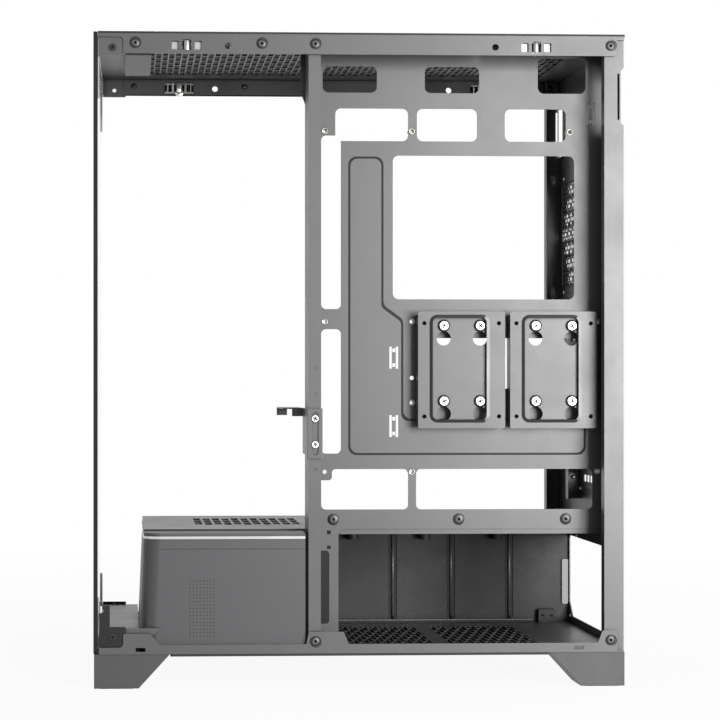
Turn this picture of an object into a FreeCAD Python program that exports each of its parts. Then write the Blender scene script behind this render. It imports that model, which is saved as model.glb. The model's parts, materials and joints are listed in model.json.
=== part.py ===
"""Mid-tower computer case, open on both sides, as a parametric FreeCAD document.

Frame: +X to the rear, +Y to the left-hand (glass) side, +Z up, origin under the middle
of the case on the surface that it stands on. The near side (-Y) is the right-hand side,
behind the motherboard tray. All sizes are in millimetres.
"""
import FreeCAD, Part
import math
import os
import re
import Sketcher

doc = FreeCAD.newDocument("computer_case")
sizes = doc.addObject("Spreadsheet::Sheet", "sizes")

# Driving dimensions: alias and number, grouped by the piece that they belong to.
SIZES = {
    # The whole case.
    "case_length": 433.0, "case_width": 230.0, "case_height": 531.5,
    "steel": 1.0, "foot_height": 28.5, "rear_overhang": 1.0, "gap": 0.3,
    # Rails and flanges round the open sides.
    "rail_drop": 16.0, "rail_front_setback": 19.6, "rail_rear_setback": 5.7,
    "rail_strip": 2.9, "cup_depth": 1.0, "cup_wall": 1.0,
    "base_rise": 7.5, "tab_rise": 17.5, "tab_slope": 4.0, "tab_width": 28.5, "swerve": 6.0,
    "rear_tab_width": 12.0, "front_rise": 16.7, "front_rise_end": 41.3, "front_slope": 7.5,
    "corner_recess_rise": 5.5, "recess_corner": 3.5,
    "hook_slot_setback": 34.0, "hook_slot_length": 8.0, "hook_slot_height": 3.2,
    # Rivets and their pressed cups.
    "rivet_head": 3.3, "rivet_head_height": 0.9, "rivet_shank": 1.6, "rivet_tail": 2.4, "rivet_hole": 1.65,
    "cup_radius": 4.9, "rivet_drop": 7.4, "rivet_rise": 9.5,
    "rail_rivet_front": 29.1, "rail_rivet_middle": 131.5, "pillar_rivet_setback": 11.1,
    # Snap clips for the side panels.
    "clip_front": 75.3, "clip_rear": 73.1, "clip_drop": 9.5,
    "clip_length": 26.4, "clip_height": 9.4, "clip_side": 9.3, "clip_window": 5.6,
    "clip_window_height": 7.2, "clip_barrel": 3.4, "clip_barrel_height": 9.0, "clip_bore": 2.4,
    "clip_depth": 5.0, "clip_skin": 0.8, "clip_play": 0.4, "screw_hole": 2.7,
    "screw_hole_front": 108.6, "screw_hole_rear": 106.6,
    # Front glass and what holds it.
    "glass_thickness": 3.5, "glass_gap": 1.0, "glass_inset": 2.0,
    "bracket_length": 21.4, "bracket_height": 16.5, "bracket_low_height": 16.0,
    "tongue_width": 10.0, "tongue_thickness": 1.2, "tongue_inset": 5.0,
    "tongue_upper": 49.7, "glass_lift": 0.2, "bracket_return": 15.0, "bracket_drop": 10.4,
    "bracket_place": 10.6, "bracket_low_place": 8.0, "catch_length": 8.4, "catch_height": 18.0,
    "catch_depth": 7.0, "catch_notch": 2.2,
    "bracket_low_rise": 5.0, "tongue_lower": 30.0,
    "ledge_height": 13.5, "ledge_length": 32.6, "ledge_lip": 6.2, "ledge_lip_length": 48.5,
    # Roof, its mesh, the filters and the front control strip.
    "filter_thickness": 1.8, "filter_inset": 1.0, "filter_border": 9.0, "filter_skin": 0.6,
    "filter_seam": 0.15, "base_filter_thickness": 2.1, "base_filter_gap": 0.2,
    "roof_mesh_front": 47.0, "roof_mesh_rear": 26.0, "roof_mesh_half": 86.0,
    "roof_slot_length": 29.0, "roof_slot_width": 8.0, "roof_columns": 24, "roof_rows": 5,
    "strip_length": 46.0, "housing_length": 22.0, "housing_setback": 21.0,
    "housing_near": 44.0, "housing_width": 106.0, "housing_depth": 10.2, "plastic": 1.5,
    "button_radius": 7.0, "reset_radius": 3.0, "button_gap": 0.25, "button_depth": 5.0,
    "button_travel": 1.2, "button_lip": 0.9, "button_dish": 0.62, "button_flange": 1.2,
    "power_place": 14.0, "reset_place": 29.0,
    "board_thickness": 1.6, "switch_radius": 2.4,
    "port_length": 13.1, "port_width": 5.7, "port_shell": 0.5,
    "port_1_place": 43.0, "port_2_place": 61.0, "port_c_place": 76.5, "port_c_length": 8.9,
    "port_c_width": 3.2, "jack_1_place": 88.0, "jack_2_place": 97.5, "jack_radius": 3.0,
    "jack_bore": 1.8, "port_recess": 0.4,
    # Motherboard tray and the standoffs of a full-size board.
    "tray_depth": 33.0, "tray_length": 256.8, "board_inset": 13.2, "board_rise": 145.5,
    "board_column_middle": 154.94, "board_column_front": 227.33, "board_column_top": 22.86,
    "board_row_middle": 124.46, "board_row_top": 281.94, "board_row_small": 57.15,
    "board_row_open": 77.7, "tab_hole": 1.7, "tab_drop": 9.2, "tab_reach": 8.9,
    "standoff_radius": 3.0, "standoff_height": 6.5, "standoff_bore": 1.5,
    "standoff_neck": 2.2, "standoff_foot": 0.6,
    "shroud_height": 98.5, "mouth_front": 27.7, "tray_rivet_rise": 7.6,
    "tray_rivet_front": 23.3, "tray_rivet_middle": 127.7, "tray_rivet_rear": 217.1,
    "mouth_corner": 5.0, "mouth_clip": 9.5, "clip_slot_1": 4.5, "clip_slot_2": 17.0,
    "leg_panel_start": 9.5, "leg_panel_end": 7.7, "leg_panel_drop": 18.1, "leg_panel_rise": 18.9,
    "loop_bridge": 3.1, "loop_slot": 2.2, "loop_height": 18.2, "loop_proud": 1.0,
    "loop_hole": 3.0,
    "loop_front": 173.6, "loop_rear": 9.3, "loop_low": 28.7, "loop_middle": 85.4,
    "loop_high": 288.0, "emboss_depth": 0.4, "emboss_width": 1.8, "groove_front": 207.8,
    "groove_middle": 178.5, "groove_step": 162.0, "groove_end": 9.5, "groove_low": 13.8,
    "groove_shelf": 43.8, "groove_jog": 138.0, "groove_slope": 12.0, "groove_top": 261.0,
    "groove_corner": 7.0, "leg_panel_depth": 0.5,
    # Post and the adjustable card holder.
    "post_face": 10.0, "post_hole": 1.7, "post_hole_1": 231.0, "post_hole_2": 210.5,
    "post_hole_3": 149.1, "gusset_width": 3.8, "gusset_height": 51.0, "gusset_slope": 10.0,
    "holder_bottom": 157.4, "holder_width": 12.4, "holder_height": 41.0, "holder_slot_width": 4.9,
    "holder_slot_inset": 3.2, "holder_screw_1": 169.1, "holder_screw_2": 190.1,
    "holder_side_depth": 43.0, "holder_arm_length": 17.0, "holder_arm_width": 62.0,
    "holder_arm_start": 41.0, "holder_tab": 6.0, "holder_tab_length": 9.0,
    "screw_head": 2.9, "screw_head_height": 1.0, "screw_shank": 1.65, "screw_length": 5.0,
    # Rear panel.
    "pillar_width": 15.9, "pillar_lip": 10.0, "notch_depth": 2.4, "notch_top": 26.0,
    "notch_height": 45.6, "notch_slot": 1.8, "notch_land": 1.0, "notch_slope": 4.0,
    "io_opening_length": 158.75, "io_opening_width": 44.45, "io_opening_rise": 126.5,
    "io_opening_depth": 7.0,
    "fan_holes": 105.0, "fan_hole": 2.2, "fan_side": 45.0,
    "fan_rise": 355.5, "vent_pitch": 15.5, "vent_cell": 6.9,
    "slot_pitch": 20.32, "slot_height": 14.0, "slot_near": 39.0, "slot_length": 100.0,
    "slot_rise": 135.5, "cover_width": 18.4, "cover_length": 113.0,
    "cover_tab": 11.5, "cover_thickness": 0.9, "cover_vent": 6.0,
    "cover_vents": 8, "cover_vent_pitch": 11.0, "cover_vent_width": 8.0,
    "shelf_length": 12.0, "shelf_ear": 8.0,
    "psu_near": 54.0, "psu_opening_width": 136.0, "psu_opening_rise": 6.5,
    "psu_opening_height": 73.0, "psu_corner_cut": 12.0, "psu_hole": 1.8,
    "psu_body_near": 43.0, "psu_body_rise": 0.5,
    # Power supply chamber.
    "wall_depth": 193.0, "rib_width": 6.4, "rib_height": 3.0, "rib_pitch": 53.4,
    "rib_first": 95.5, "rib_count": 3, "shroud_flange": 15.0, "shroud_mesh_front": 44.5,
    "shroud_slot_pitch": 8.35, "shroud_slot_width": 6.2, "shroud_slot_length": 74.0,
    "shroud_columns": 6,
    "shroud_mesh_near": 86.0, "boss_radius": 5.5, "boss_height": 20.0,
    "boss_first": 57.5, "boss_pitch": 65.6, "boss_inset": 8.0, "shroud_slot_shift": 4.0,
    "mouth_lip": 4.6, "cover_vent_front": 42.0, "cover_vent_length": 90.0,
    "cover_vent_near": 84.0, "cover_vent_depth": 80.0,
    "floor_field_near": 18.0,
    "floor_field_1": 39.3, "floor_field_2": 127.3, "floor_slot_width": 7.8,
    "floor_slot_length": 25.0, "floor_columns": 4, "floor_rows": 5,
    "floor_slot_pitch": 10.3, "floor_row_pitch": 29.0,
    "block_length": 16.0, "block_height": 12.0, "block_depth": 6.0, "block_hole": 1.5,
    "block_setback": 13.0, "block_spacing": 8.0, "seal_length": 5.5, "seal_height": 41.0,
    "seal_rise": 16.4, "seal_depth": 2.0,
    # Moulded cover of the front half of the chamber.
    "cover_setback": 41.0, "cover_draft": 4.0, "cover_face": 4.0, "cover_end": 2.4,
    "cover_wall": 2.0, "cover_corner": 13.0, "seam_drop": 13.1,
    "seam_width": 0.7, "seam_depth": 0.5, "trim_drop": 2.5, "trim_height": 2.1,
    "trim_proud": 0.6, "dot_columns": 8, "dot_rows": 17, "dot_pitch": 2.8, "dot_depth": 0.4,
    "dot_size": 0.9, "dot_place": 36.5, "dot_rise": 12.5,
    # Brackets for 2.5-inch drives.
    "drive_front": 91.8, "drive_rise": 181.7, "drive_length": 72.1, "drive_height": 96.2,
    "drive_pitch": 76.2, "drive_stand": 14.0, "dish_inset": 10.0, "dish_length": 49.6,
    "dish_rise": 3.9, "dish_height": 88.8, "dish_corner": 7.5, "dish_depth": 3.5,
    "drive_hole": 1.7, "drive_holes_x": 61.72, "drive_holes_z": 76.6,
    "key_first": 21.8, "key_pitch": 30.0, "key_low": 22.4, "key_high": 84.5,
    "key_drop": 10.5, "key_radius": 5.9, "key_slot": 2.3, "key_head": 3.6,
    "key_head_height": 1.6, "key_washer": 4.9, "key_washer_height": 0.8, "key_shank": 2.0,
    "key_thread": 1.7,
    # Small clearances and edges that several pieces use.
    "snug": 0.1, "bend": 1.5, "fold": 3.0,
    # Feet.
    "foot_length": 61.5, "foot_sole": 36.0, "foot_depth": 32.0, "foot_inset": 1.0,
    "foot_margin": 0.5, "sole_inset": 4.0, "sole_proud": 0.8,
}

# Windows of the motherboard tray: left, bottom, right and top measured from the board's
# lower rear standoff, and the corner radius.
WINDOWS = {
    "rail_window_front": (-229.0, 313.8, -184.0, 335.7, 5.0),
    "rail_window_middle": (-144.1, 313.8, -98.8, 335.7, 5.0),
    "rail_window_rear": (-49.7, 313.8, -9.6, 343.0, 5.0),
    "top_window_front": (-218.5, 273.8, -157.9, 300.8, 5.0),
    "top_window_middle": (-150.6, 273.8, -100.4, 300.8, 5.0),
    "top_window_rear": (-77.3, 273.8, -26.3, 300.8, 5.0),
    "front_window_high": (-230.2, 134.7, -213.8, 278.3, 4.0),
    "front_window_low": (-230.2, 15.1, -213.8, 118.0, 4.0),
    "low_window_front": (-230.2, -31.2, -157.9, 2.2, 4.0),
    "low_window_rear": (-151.3, -31.2, -4.1, 2.2, 4.0),
    "cooler_window": (-170.7, 142.9, -19.3, 261.9, 5.0),
    "drive_window": (-139.3, 68.9, -15.3, 110.7, 3.0),
}
SIDES = ("left", "bottom", "right", "top", "corner")
SIZES.update({f"{name}_{side}": number
              for name, numbers in WINDOWS.items() for side, number in zip(SIDES, numbers)})

for row, (alias, number) in enumerate(SIZES.items(), start=1):
    sizes.set(f"A{row}", alias)
    sizes.set(f"B{row}", str(number))
    sizes.setAlias(f"B{row}", alias)
doc.recompute()

# Planes and lines that several pieces share, as formulas of the sheet's sizes.
NEAR = "(-case_width / 2)"
FAR = "(case_width / 2)"
FRONT = "(-case_length / 2)"
REAR = "(case_length / 2)"
FLOOR = "(foot_height + steel)"
ROOF = "(case_height - filter_thickness)"
CEILING = f"({ROOF} - steel)"
BACK = f"({REAR} - rear_overhang)"
BACK_INNER = f"({BACK} - steel)"
GLASS_INNER = f"({FRONT} + glass_thickness)"
FRAME_FRONT = f"({GLASS_INNER} + glass_gap)"
INNER = f"({NEAR} + steel + cup_depth)"
FAR_INNER = f"({FAR} - steel - cup_depth)"
TRAY = f"({NEAR} + tray_depth)"
TRAY_BACK = f"({TRAY} + steel)"
POST = f"({BACK_INNER} - tray_length)"
POST_MIDDLE = f"({POST} + post_face / 2 + 0.3)"
SHROUD_TOP = f"({FLOOR} + shroud_height - steel)"
WALL = f"({NEAR} + wall_depth)"
BOARD_X = f"({BACK_INNER} - board_inset)"
BOARD_Z = "(foot_height + board_rise)"
RIVET_HIGH = f"({ROOF} - rivet_drop)"
RIVET_LOW = "(foot_height + rivet_rise)"
COVER_FRONT = f"({FRONT} + cover_setback)"
COVER_TOP = f"({SHROUD_TOP} - steel - gap)"
COVER_END = f"({POST} - cover_end)"
COVER_NEAR = f"({NEAR} + cover_face)"
COVER_FAR = f"({WALL} + steel)"

ROLES = {"XY": "XY_Plane", "XZ": "XZ_Plane", "YZ": "YZ_Plane"}
ALIAS = re.compile(r"[A-Za-z_]\w*")
nodes = []


def formula(text):
    """Write a formula of sizes as the document reads it."""
    return ALIAS.sub(lambda word: "sizes." + word[0] if word[0] in SIZES else word[0], str(text))


def value(text):
    """The number that a formula of sizes gives now."""
    return float(sizes.evalExpression(formula(text)))


def bind(thing, path, text):
    """Bind one property of an object to a formula of sizes."""
    thing.setExpression(path, formula(text))


def new_body(name, is_node=True):
    """Start a body; a node's name is also the name of its file."""
    body = doc.addObject("PartDesign::Body", name)
    body.Label = name
    if is_node:
        nodes.append(body)
    return body


def origin_feature(body, role):
    """The body's own origin plane or axis with that role."""
    return next(item for item in body.Origin.OriginFeatures if item.Role == role)


def new_sketch(body, plane, level):
    """A sketch parallel to an origin plane, at a level along that plane's axis."""
    sketch = body.newObject("Sketcher::SketchObject", body.Label + "_sketch")
    sketch.AttachmentSupport = [(origin_feature(body, ROLES[plane]), "")]
    sketch.MapMode = "FlatFace"
    sign = "-" if plane == "XZ" else ""
    bind(sketch, ".AttachmentOffset.Base.z", f"{sign}({level})")
    return sketch


def dimension(sketch, constraint, text):
    """Add a constraint whose number follows a formula."""
    index = sketch.addConstraint(constraint)
    bind(sketch, f"Constraints[{index}]", text)


def place_point(sketch, geometry, position, across, along):
    """Fix one point of a sketch by its two distances from the origin."""
    for kind, text in (("DistanceX", across), ("DistanceY", along)):
        dimension(sketch, Sketcher.Constraint(kind, -1, 1, geometry, position, value(text)), text)


def draw_circle(sketch, across, along, radius):
    """A circle with its centre and radius from formulas."""
    centre = FreeCAD.Vector(value(across), value(along), 0)
    circle = sketch.addGeometry(Part.Circle(centre, FreeCAD.Vector(0, 0, 1), value(radius)), False)
    place_point(sketch, circle, 3, across, along)
    dimension(sketch, Sketcher.Constraint("Radius", circle, value(radius)), radius)


def draw_outline(sketch, corners):
    """A closed outline of straight lines; a corner with a third number is rounded."""
    corners = [(*corner, None)[:3] for corner in corners]
    points = [FreeCAD.Vector(value(x), value(y), 0) for x, y, _ in corners]
    count = len(corners)
    starts, ends, arcs = list(points), list(points), {}
    for index, (_, _, radius) in enumerate(corners):
        if radius is None:
            continue
        point, size = points[index], value(radius)
        back = (points[index - 1] - point).normalize()
        ahead = (points[(index + 1) % count] - point).normalize()
        half = back.getAngle(ahead) / 2
        reach = size / math.tan(half)
        centre = point + (back + ahead).normalize() * (size / math.sin(half))
        ends[index], starts[index] = point + back * reach, point + ahead * reach
        left_turn = back.cross(ahead).z < 0
        first, last = (ends[index], starts[index]) if left_turn else (starts[index], ends[index])
        angles = [math.atan2((p - centre).y, (p - centre).x) for p in (first, last)]
        circle = Part.Circle(centre, FreeCAD.Vector(0, 0, 1), size)
        arcs[index] = (Part.ArcOfCircle(circle, *angles), left_turn)
    lines = [sketch.addGeometry(Part.LineSegment(starts[i], ends[(i + 1) % count]), False)
             for i in range(count)]
    for index, (x, y, radius) in enumerate(corners):
        before, after = lines[index - 1], lines[index]
        if radius is None:
            sketch.addConstraint(Sketcher.Constraint("Coincident", before, 2, after, 1))
            place_point(sketch, after, 1, x, y)
            continue
        geometry, left_turn = arcs[index]
        arc = sketch.addGeometry(geometry, False)
        mark = sketch.addGeometry(Part.Point(points[index]), True)
        first, last = (1, 2) if left_turn else (2, 1)
        sketch.addConstraint([
            Sketcher.Constraint("Tangent", before, 2, arc, first),
            Sketcher.Constraint("Tangent", arc, last, after, 1),
            Sketcher.Constraint("PointOnObject", mark, 1, before),
            Sketcher.Constraint("PointOnObject", mark, 1, after)])
        place_point(sketch, mark, 1, x, y)
        dimension(sketch, Sketcher.Constraint("Radius", arc, value(radius)), radius)


def box(left, bottom, right, top, corner=None):
    """The four corners of a rectangle, rounded where a corner radius is given."""
    points = [(left, bottom), (right, bottom), (right, top), (left, top)]
    return points if corner is None else [(*point, corner) for point in points]


def draw(body, plane, level, outlines):
    """A sketch with outlines, each a list of corners or a circle's three formulas."""
    sketch = new_sketch(body, plane, level)
    for outline in outlines:
        if isinstance(outline, tuple):
            draw_circle(sketch, *outline)
        else:
            draw_outline(sketch, outline)
    return sketch


def pad(body, plane, low, thickness, *outlines):
    """Grow material from a low level, along the plane's axis, by a thickness."""
    feature = body.newObject("PartDesign::Pad", body.Label + "_pad")
    feature.Profile = draw(body, plane, low, outlines)
    bind(feature, "Length", thickness)
    feature.Reversed = plane == "XZ"
    return feature


def cut(body, plane, low, depth, *outlines):
    """Take material away from a low level, along the plane's axis, by a depth."""
    feature = body.newObject("PartDesign::Pocket", body.Label + "_pocket")
    feature.Profile = draw(body, plane, low, outlines)
    bind(feature, "Length", depth)
    feature.Reversed = plane != "XZ"
    return feature


def repeat(body, feature, first, second=None):
    """Repeat a feature along one or two axes: each an axis letter, count and pitch."""
    pattern = body.newObject("PartDesign::LinearPattern", body.Label + "_pattern")
    pattern.Originals = [feature]
    for suffix, row in (("", first), ("2", second)):
        if row is None:
            continue
        axis, count, pitch = row
        setattr(pattern, "Direction" + suffix, (origin_feature(body, axis + "_Axis"), [""]))
        bind(pattern, "Occurrences" + suffix, count)
        bind(pattern, "Length" + suffix, f"({pitch}) * ({count} - 1)")
    body.Tip = pattern
    return pattern


def revolve(body, profile, plane="YZ", role="Y_Axis"):
    """Turn a profile round one of the body's own axes."""
    feature = body.newObject("PartDesign::Revolution", body.Label + "_turn")
    feature.Profile = draw(body, plane, "0", [profile])
    feature.ReferenceAxis = (origin_feature(body, role), [""])
    feature.Angle = 360.0
    return feature


def group(name, places):
    """A node of separate like solids: each place is a body, x, y, z and a turn about Z."""
    links = []
    for index, (body, x, y, z, turn) in enumerate(places, start=1):
        link = doc.addObject("App::Link", f"{name}_{index}")
        link.LinkedObject = body
        link.LinkTransform = False
        for axis, text in (("x", x), ("y", y), ("z", z)):
            bind(link, f".Placement.Base.{axis}", text)
        link.Placement.Rotation = FreeCAD.Rotation(FreeCAD.Vector(0, 0, 1), turn)
        links.append(link)
    compound = doc.addObject("Part::Compound", name)
    compound.Label = name
    compound.Links = links
    nodes.append(compound)
    return compound


# Rivet places on the near side: x and z, and whether the far side has one too.
RAIL_RIVETS = [(f"({FRAME_FRONT} + rail_rivet_front)", RIVET_HIGH, True),
               (f"({FRAME_FRONT} + rail_rivet_middle)", RIVET_HIGH, True),
               (POST_MIDDLE, RIVET_HIGH, False),
               (f"({BACK} - pillar_rivet_setback)", RIVET_HIGH, True)]
BASE_RIVETS = [(POST_MIDDLE, RIVET_LOW, False),
               (f"({BACK} - pillar_rivet_setback)", RIVET_LOW, True)]
CARD_SLOTS = 7
VENT_RINGS = 3
KEY_REACH = "(drive_stand - dish_depth)"
TRAY_RIVETS = [(f"({POST} + tray_rivet_{place})", f"({SHROUD_TOP} + tray_rivet_rise)")
               for place in ("front", "middle", "rear")]
CLIPS = {"front": f"({FRONT} + clip_front)", "rear": f"({REAR} - clip_rear)"}
CLIP_Z = f"({ROOF} - clip_drop)"

HOUSING = (f"({FRAME_FRONT} + housing_setback)", f"({NEAR} + housing_near)")
HOUSING_MIDDLE = f"({HOUSING[0]} + housing_length / 2)"
BOARD_LEVEL = f"({ROOF} - housing_depth + plastic)"
BOARD_TOP = f"({BOARD_LEVEL} + board_thickness)"
BUTTON_LOW = "(case_height - button_depth)"
PORTS = {"usb_port_1": ("port_1_place", "port_width", "port_length"),
         "usb_port_2": ("port_2_place", "port_width", "port_length"),
         "small_port": ("port_c_place", "port_c_width", "port_c_length")}
PSU_HOLES = ((6, 80), (120, 80), (6, 16), (144, 6))
SLOT_NEAR = f"({NEAR} + slot_near)"
SLOT_LOW = "(foot_height + slot_rise)"
CARD_SCREW_X = f"({BACK_INNER} - cover_thickness - cover_tab / 2)"
COLUMNS = (BOARD_X, f"({BOARD_X} - board_column_middle)", f"({BOARD_X} - board_column_front)")
ROWS = (BOARD_Z, f"({BOARD_Z} + board_row_middle)", f"({BOARD_Z} + board_row_top)")
OPEN_STANDOFF = (COLUMNS[1], ROWS[0])
STANDOFFS = [(COLUMNS[0], ROWS[0]), *[(x, ROWS[1]) for x in COLUMNS],
             (f"({BOARD_X} - board_column_top)", ROWS[2]), *[(x, ROWS[2]) for x in COLUMNS[1:]],
             (COLUMNS[1], f"({BOARD_Z} + board_row_small)")]
OPEN_HOLES = [(COLUMNS[2], ROWS[0], "tab_hole"),
              (COLUMNS[1], f"({BOARD_Z} + board_row_open)", "tab_hole")]


def flange_side(far):
    """Low levels of the outer flange and of the cups behind it, on one side."""
    if far:
        return f"({FAR} - steel)", FAR_INNER
    return NEAR, f"({NEAR} + steel)"


def add_cups(body, rivets, far):
    """Press a cup with a rivet hole in its floor into a flange at each rivet."""
    outer, cups = flange_side(far)
    wanted = [(x, z) for x, z, both in rivets if both or not far]
    pad(body, "XZ", cups, "cup_depth", *[(x, z, "(cup_radius + cup_wall)") for x, z in wanted])
    cut(body, "XZ", outer, "steel", *[(x, z, "cup_radius") for x, z in wanted])
    cut(body, "XZ", cups, "cup_depth", *[(x, z, "rivet_hole") for x, z in wanted])


def make_bottom_panel():
    """Floor sheet with turned-up sides, two intake fields and slots for panel hooks."""
    body = new_body("bottom_panel")
    pad(body, "XY", "foot_height", "steel", box(FRAME_FRONT, NEAR, BACK_INNER, FAR))
    low, base, tab = "foot_height", "(foot_height + base_rise)", "(foot_height + tab_rise)"
    rise, recess = "(foot_height + front_rise)", "(foot_height + corner_recess_rise)"
    tab_right = f"({BACK} - rail_rear_setback)"
    tab_left = f"({tab_right} - rear_tab_width)"
    post_left, post_right = POST, f"({POST} + tab_width)"
    for far in (False, True):
        outer, _ = flange_side(far)
        middle = [(f"({post_right} + tab_slope)", base), (post_right, tab, "bend"),
                  (post_left, tab, "bend"), (f"({post_left} - tab_slope / 2)", base)]
        front_end = f"({FRAME_FRONT} + front_rise_end)"
        front_step = [(f"({front_end} + front_slope)", base, "swerve"), (front_end, rise, "swerve"),
                      (f"({FRAME_FRONT} + rail_front_setback)", rise, "bend")]
        corners = [(FRAME_FRONT, low), (tab_right, low), (tab_right, tab, "fold"), (tab_left, tab, "bend"),
                   (f"({tab_left} - tab_slope)", base), *([] if far else middle + front_step),
                   *([(f"({FRAME_FRONT} + rail_front_setback)", base)] if far else []),
                   (f"({FRAME_FRONT} + rail_front_setback)", recess, "recess_corner" if not far else None),
                   (FRAME_FRONT, recess)]
        pad(body, "XZ", outer, "steel", corners)
        add_cups(body, BASE_RIVETS, far)
        slot_low = f"({FLOOR} + steel)"
        front_slot = f"({FRONT} + hook_slot_setback)"
        rear_slot = f"({REAR} - hook_slot_setback - hook_slot_length)"
        cut(body, "XZ", outer, "steel", *[
            box(left, slot_low, f"({left} + hook_slot_length)", f"({slot_low} + hook_slot_height)")
            for left in (front_slot, rear_slot)])
    for field in ("floor_field_1", "floor_field_2"):
        for shift, rows in ((0, "floor_rows"), (1, "(floor_rows - 1)")):
            left = f"({POST} + {field} + {shift} * floor_slot_pitch)"
            near = f"({NEAR} + floor_field_near + {shift} * floor_row_pitch / 2)"
            slot = cut(body, "XY", "foot_height", "steel",
                       box(left, near, f"({left} + floor_slot_width)", f"({near} + floor_slot_length)"))
            columns = "floor_columns" if shift == 0 else "(floor_columns - 1)"
            repeat(body, slot, ("X", columns, "floor_slot_pitch * 2"), ("Y", rows, "floor_row_pitch"))


def make_top_frame():
    """Roof sheet with turned-down rails, its air slots and the opening for the controls."""
    body = new_body("top_frame")
    pad(body, "XY", CEILING, "steel", box(FRAME_FRONT, NEAR, BACK, FAR))
    rail_low, strip = f"({ROOF} - rail_drop)", f"({ROOF} - rail_strip)"
    rail_left, rail_right = f"({FRAME_FRONT} + rail_front_setback)", f"({BACK} - rail_rear_setback)"
    for far in (False, True):
        outer, _ = flange_side(far)
        pad(body, "XZ", outer, "steel", [
            (rail_left, rail_low), (rail_right, rail_low, "fold"), (rail_right, strip), (BACK, strip),
            (BACK, ROOF), (FRAME_FRONT, ROOF), (FRAME_FRONT, strip),
            (rail_left, strip, "recess_corner")])
        add_cups(body, RAIL_RIVETS, far)
        holes = [(f"({FRONT} + screw_hole_front)", CLIP_Z, "screw_hole"),
                 (f"({REAR} - screw_hole_rear)", CLIP_Z, "screw_hole")]
        cut(body, "XZ", outer, "steel", *holes)
        for x in CLIPS.values():
            barrel = "(clip_barrel + clip_play)"
            cut(body, "XZ", outer, "steel", *clip_windows(x), box(
                f"({x} - {barrel})", f"({CLIP_Z} - clip_barrel_height / 2 - gap)",
                f"({x} + {barrel})", f"({CLIP_Z} + clip_barrel_height / 2 + gap)", "bend"))
    left, near = HOUSING
    cut(body, "XY", CEILING, "steel", box(
        f"({left} - gap)", f"({near} - gap)", f"({left} + housing_length + gap)",
        f"({near} + housing_width + gap)"))
    pitch_x = f"(({BACK} - {FRAME_FRONT} - roof_mesh_front - roof_mesh_rear) / roof_columns)"
    pitch_y = "(2 * roof_mesh_half / roof_rows)"
    for shift in (0, 1):
        slot_left = f"({FRAME_FRONT} + roof_mesh_front + {shift} * {pitch_x})"
        slot_near = f"(-roof_mesh_half + {shift} * {pitch_y} / 2 + fold)"
        rows = "roof_rows" if shift == 0 else "(roof_rows - 1)"
        slot = cut(body, "XY", CEILING, "steel", box(
            slot_left, slot_near, f"({slot_left} + roof_slot_width)",
            f"({slot_near} + roof_slot_length)"))
        repeat(body, slot, ("X", "roof_columns / 2", f"2 * {pitch_x}"), ("Y", rows, pitch_y))


def clip_windows(x):
    """The two side windows that show the spring of a panel clip."""
    low, high = f"({CLIP_Z} - clip_window_height / 2)", f"({CLIP_Z} + clip_window_height / 2)"
    return [box(f"({x} {sign} clip_side - clip_window / 2)", low,
                f"({x} {sign} clip_side + clip_window / 2)", high, "clip_play") for sign in "-+"]


def make_inner_rail(far):
    """Stiffening strip riveted behind a roof rail between the front and the next pillar."""
    body = new_body("far_rail_stiffener" if far else "near_rail_stiffener")
    low = FAR_INNER if far else INNER
    low = f"({low} - steel)" if far else low
    left = f"({FRAME_FRONT} + rail_front_setback + gap)"
    right = f"({BACK} - pillar_width - gap)" if far else f"({POST} - steel - gap)"
    bottom, top = f"({ROOF} - rail_drop + steel)", f"({CEILING} - gap)"
    pad(body, "XZ", low, "steel", box(left, bottom, right, top))
    holes = [(x, z, "rivet_hole") for x, z, _ in RAIL_RIVETS[:2]]
    holes.append((f"({FRONT} + screw_hole_front)", CLIP_Z, "screw_hole"))
    if far:
        holes.append((f"({REAR} - screw_hole_rear)", CLIP_Z, "screw_hole"))
    places = CLIPS.values() if far else [CLIPS["front"]]
    windows = [box(f"({x} - clip_length / 2 - gap)", f"({CLIP_Z} - clip_height / 2 - gap)",
                   f"({x} + clip_length / 2 + gap)", f"({CLIP_Z} + clip_height / 2 + gap)")
               for x in places]
    cut(body, "XZ", low, "steel", *holes, *windows)


def make_panel_clip(name, x, far):
    """Spring cage behind a rail, with the rolled barrel that guides a panel's ball stud."""
    body = new_body(name)
    low = f"({FAR} - steel - clip_depth)" if far else f"({NEAR} + steel)"
    half, rise = "(clip_length / 2)", "(clip_height / 2)"
    pad(body, "XZ", low, "clip_depth", box(
        f"({x} - {half})", f"({CLIP_Z} - {rise})", f"({x} + {half})", f"({CLIP_Z} + {rise})"))
    open_low = f"({low} + clip_skin)" if far else low
    room = "(clip_barrel + clip_play)"
    cut(body, "XZ", open_low, "(clip_depth - clip_skin)", *clip_windows(x), box(
        f"({x} - {room})", f"({CLIP_Z} - {rise} - steel)", f"({x} + {room})",
        f"({CLIP_Z} + {rise} + steel)"))
    axis = f"({FAR} - clip_barrel - snug)" if far else f"({NEAR} + clip_barrel + snug)"
    bottom = f"({CLIP_Z} - clip_barrel_height / 2)"
    pad(body, "XY", bottom, "clip_barrel_height", (x, axis, "clip_barrel"))
    cut(body, "XY", bottom, "clip_barrel_height", (x, axis, "clip_bore"))


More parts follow.
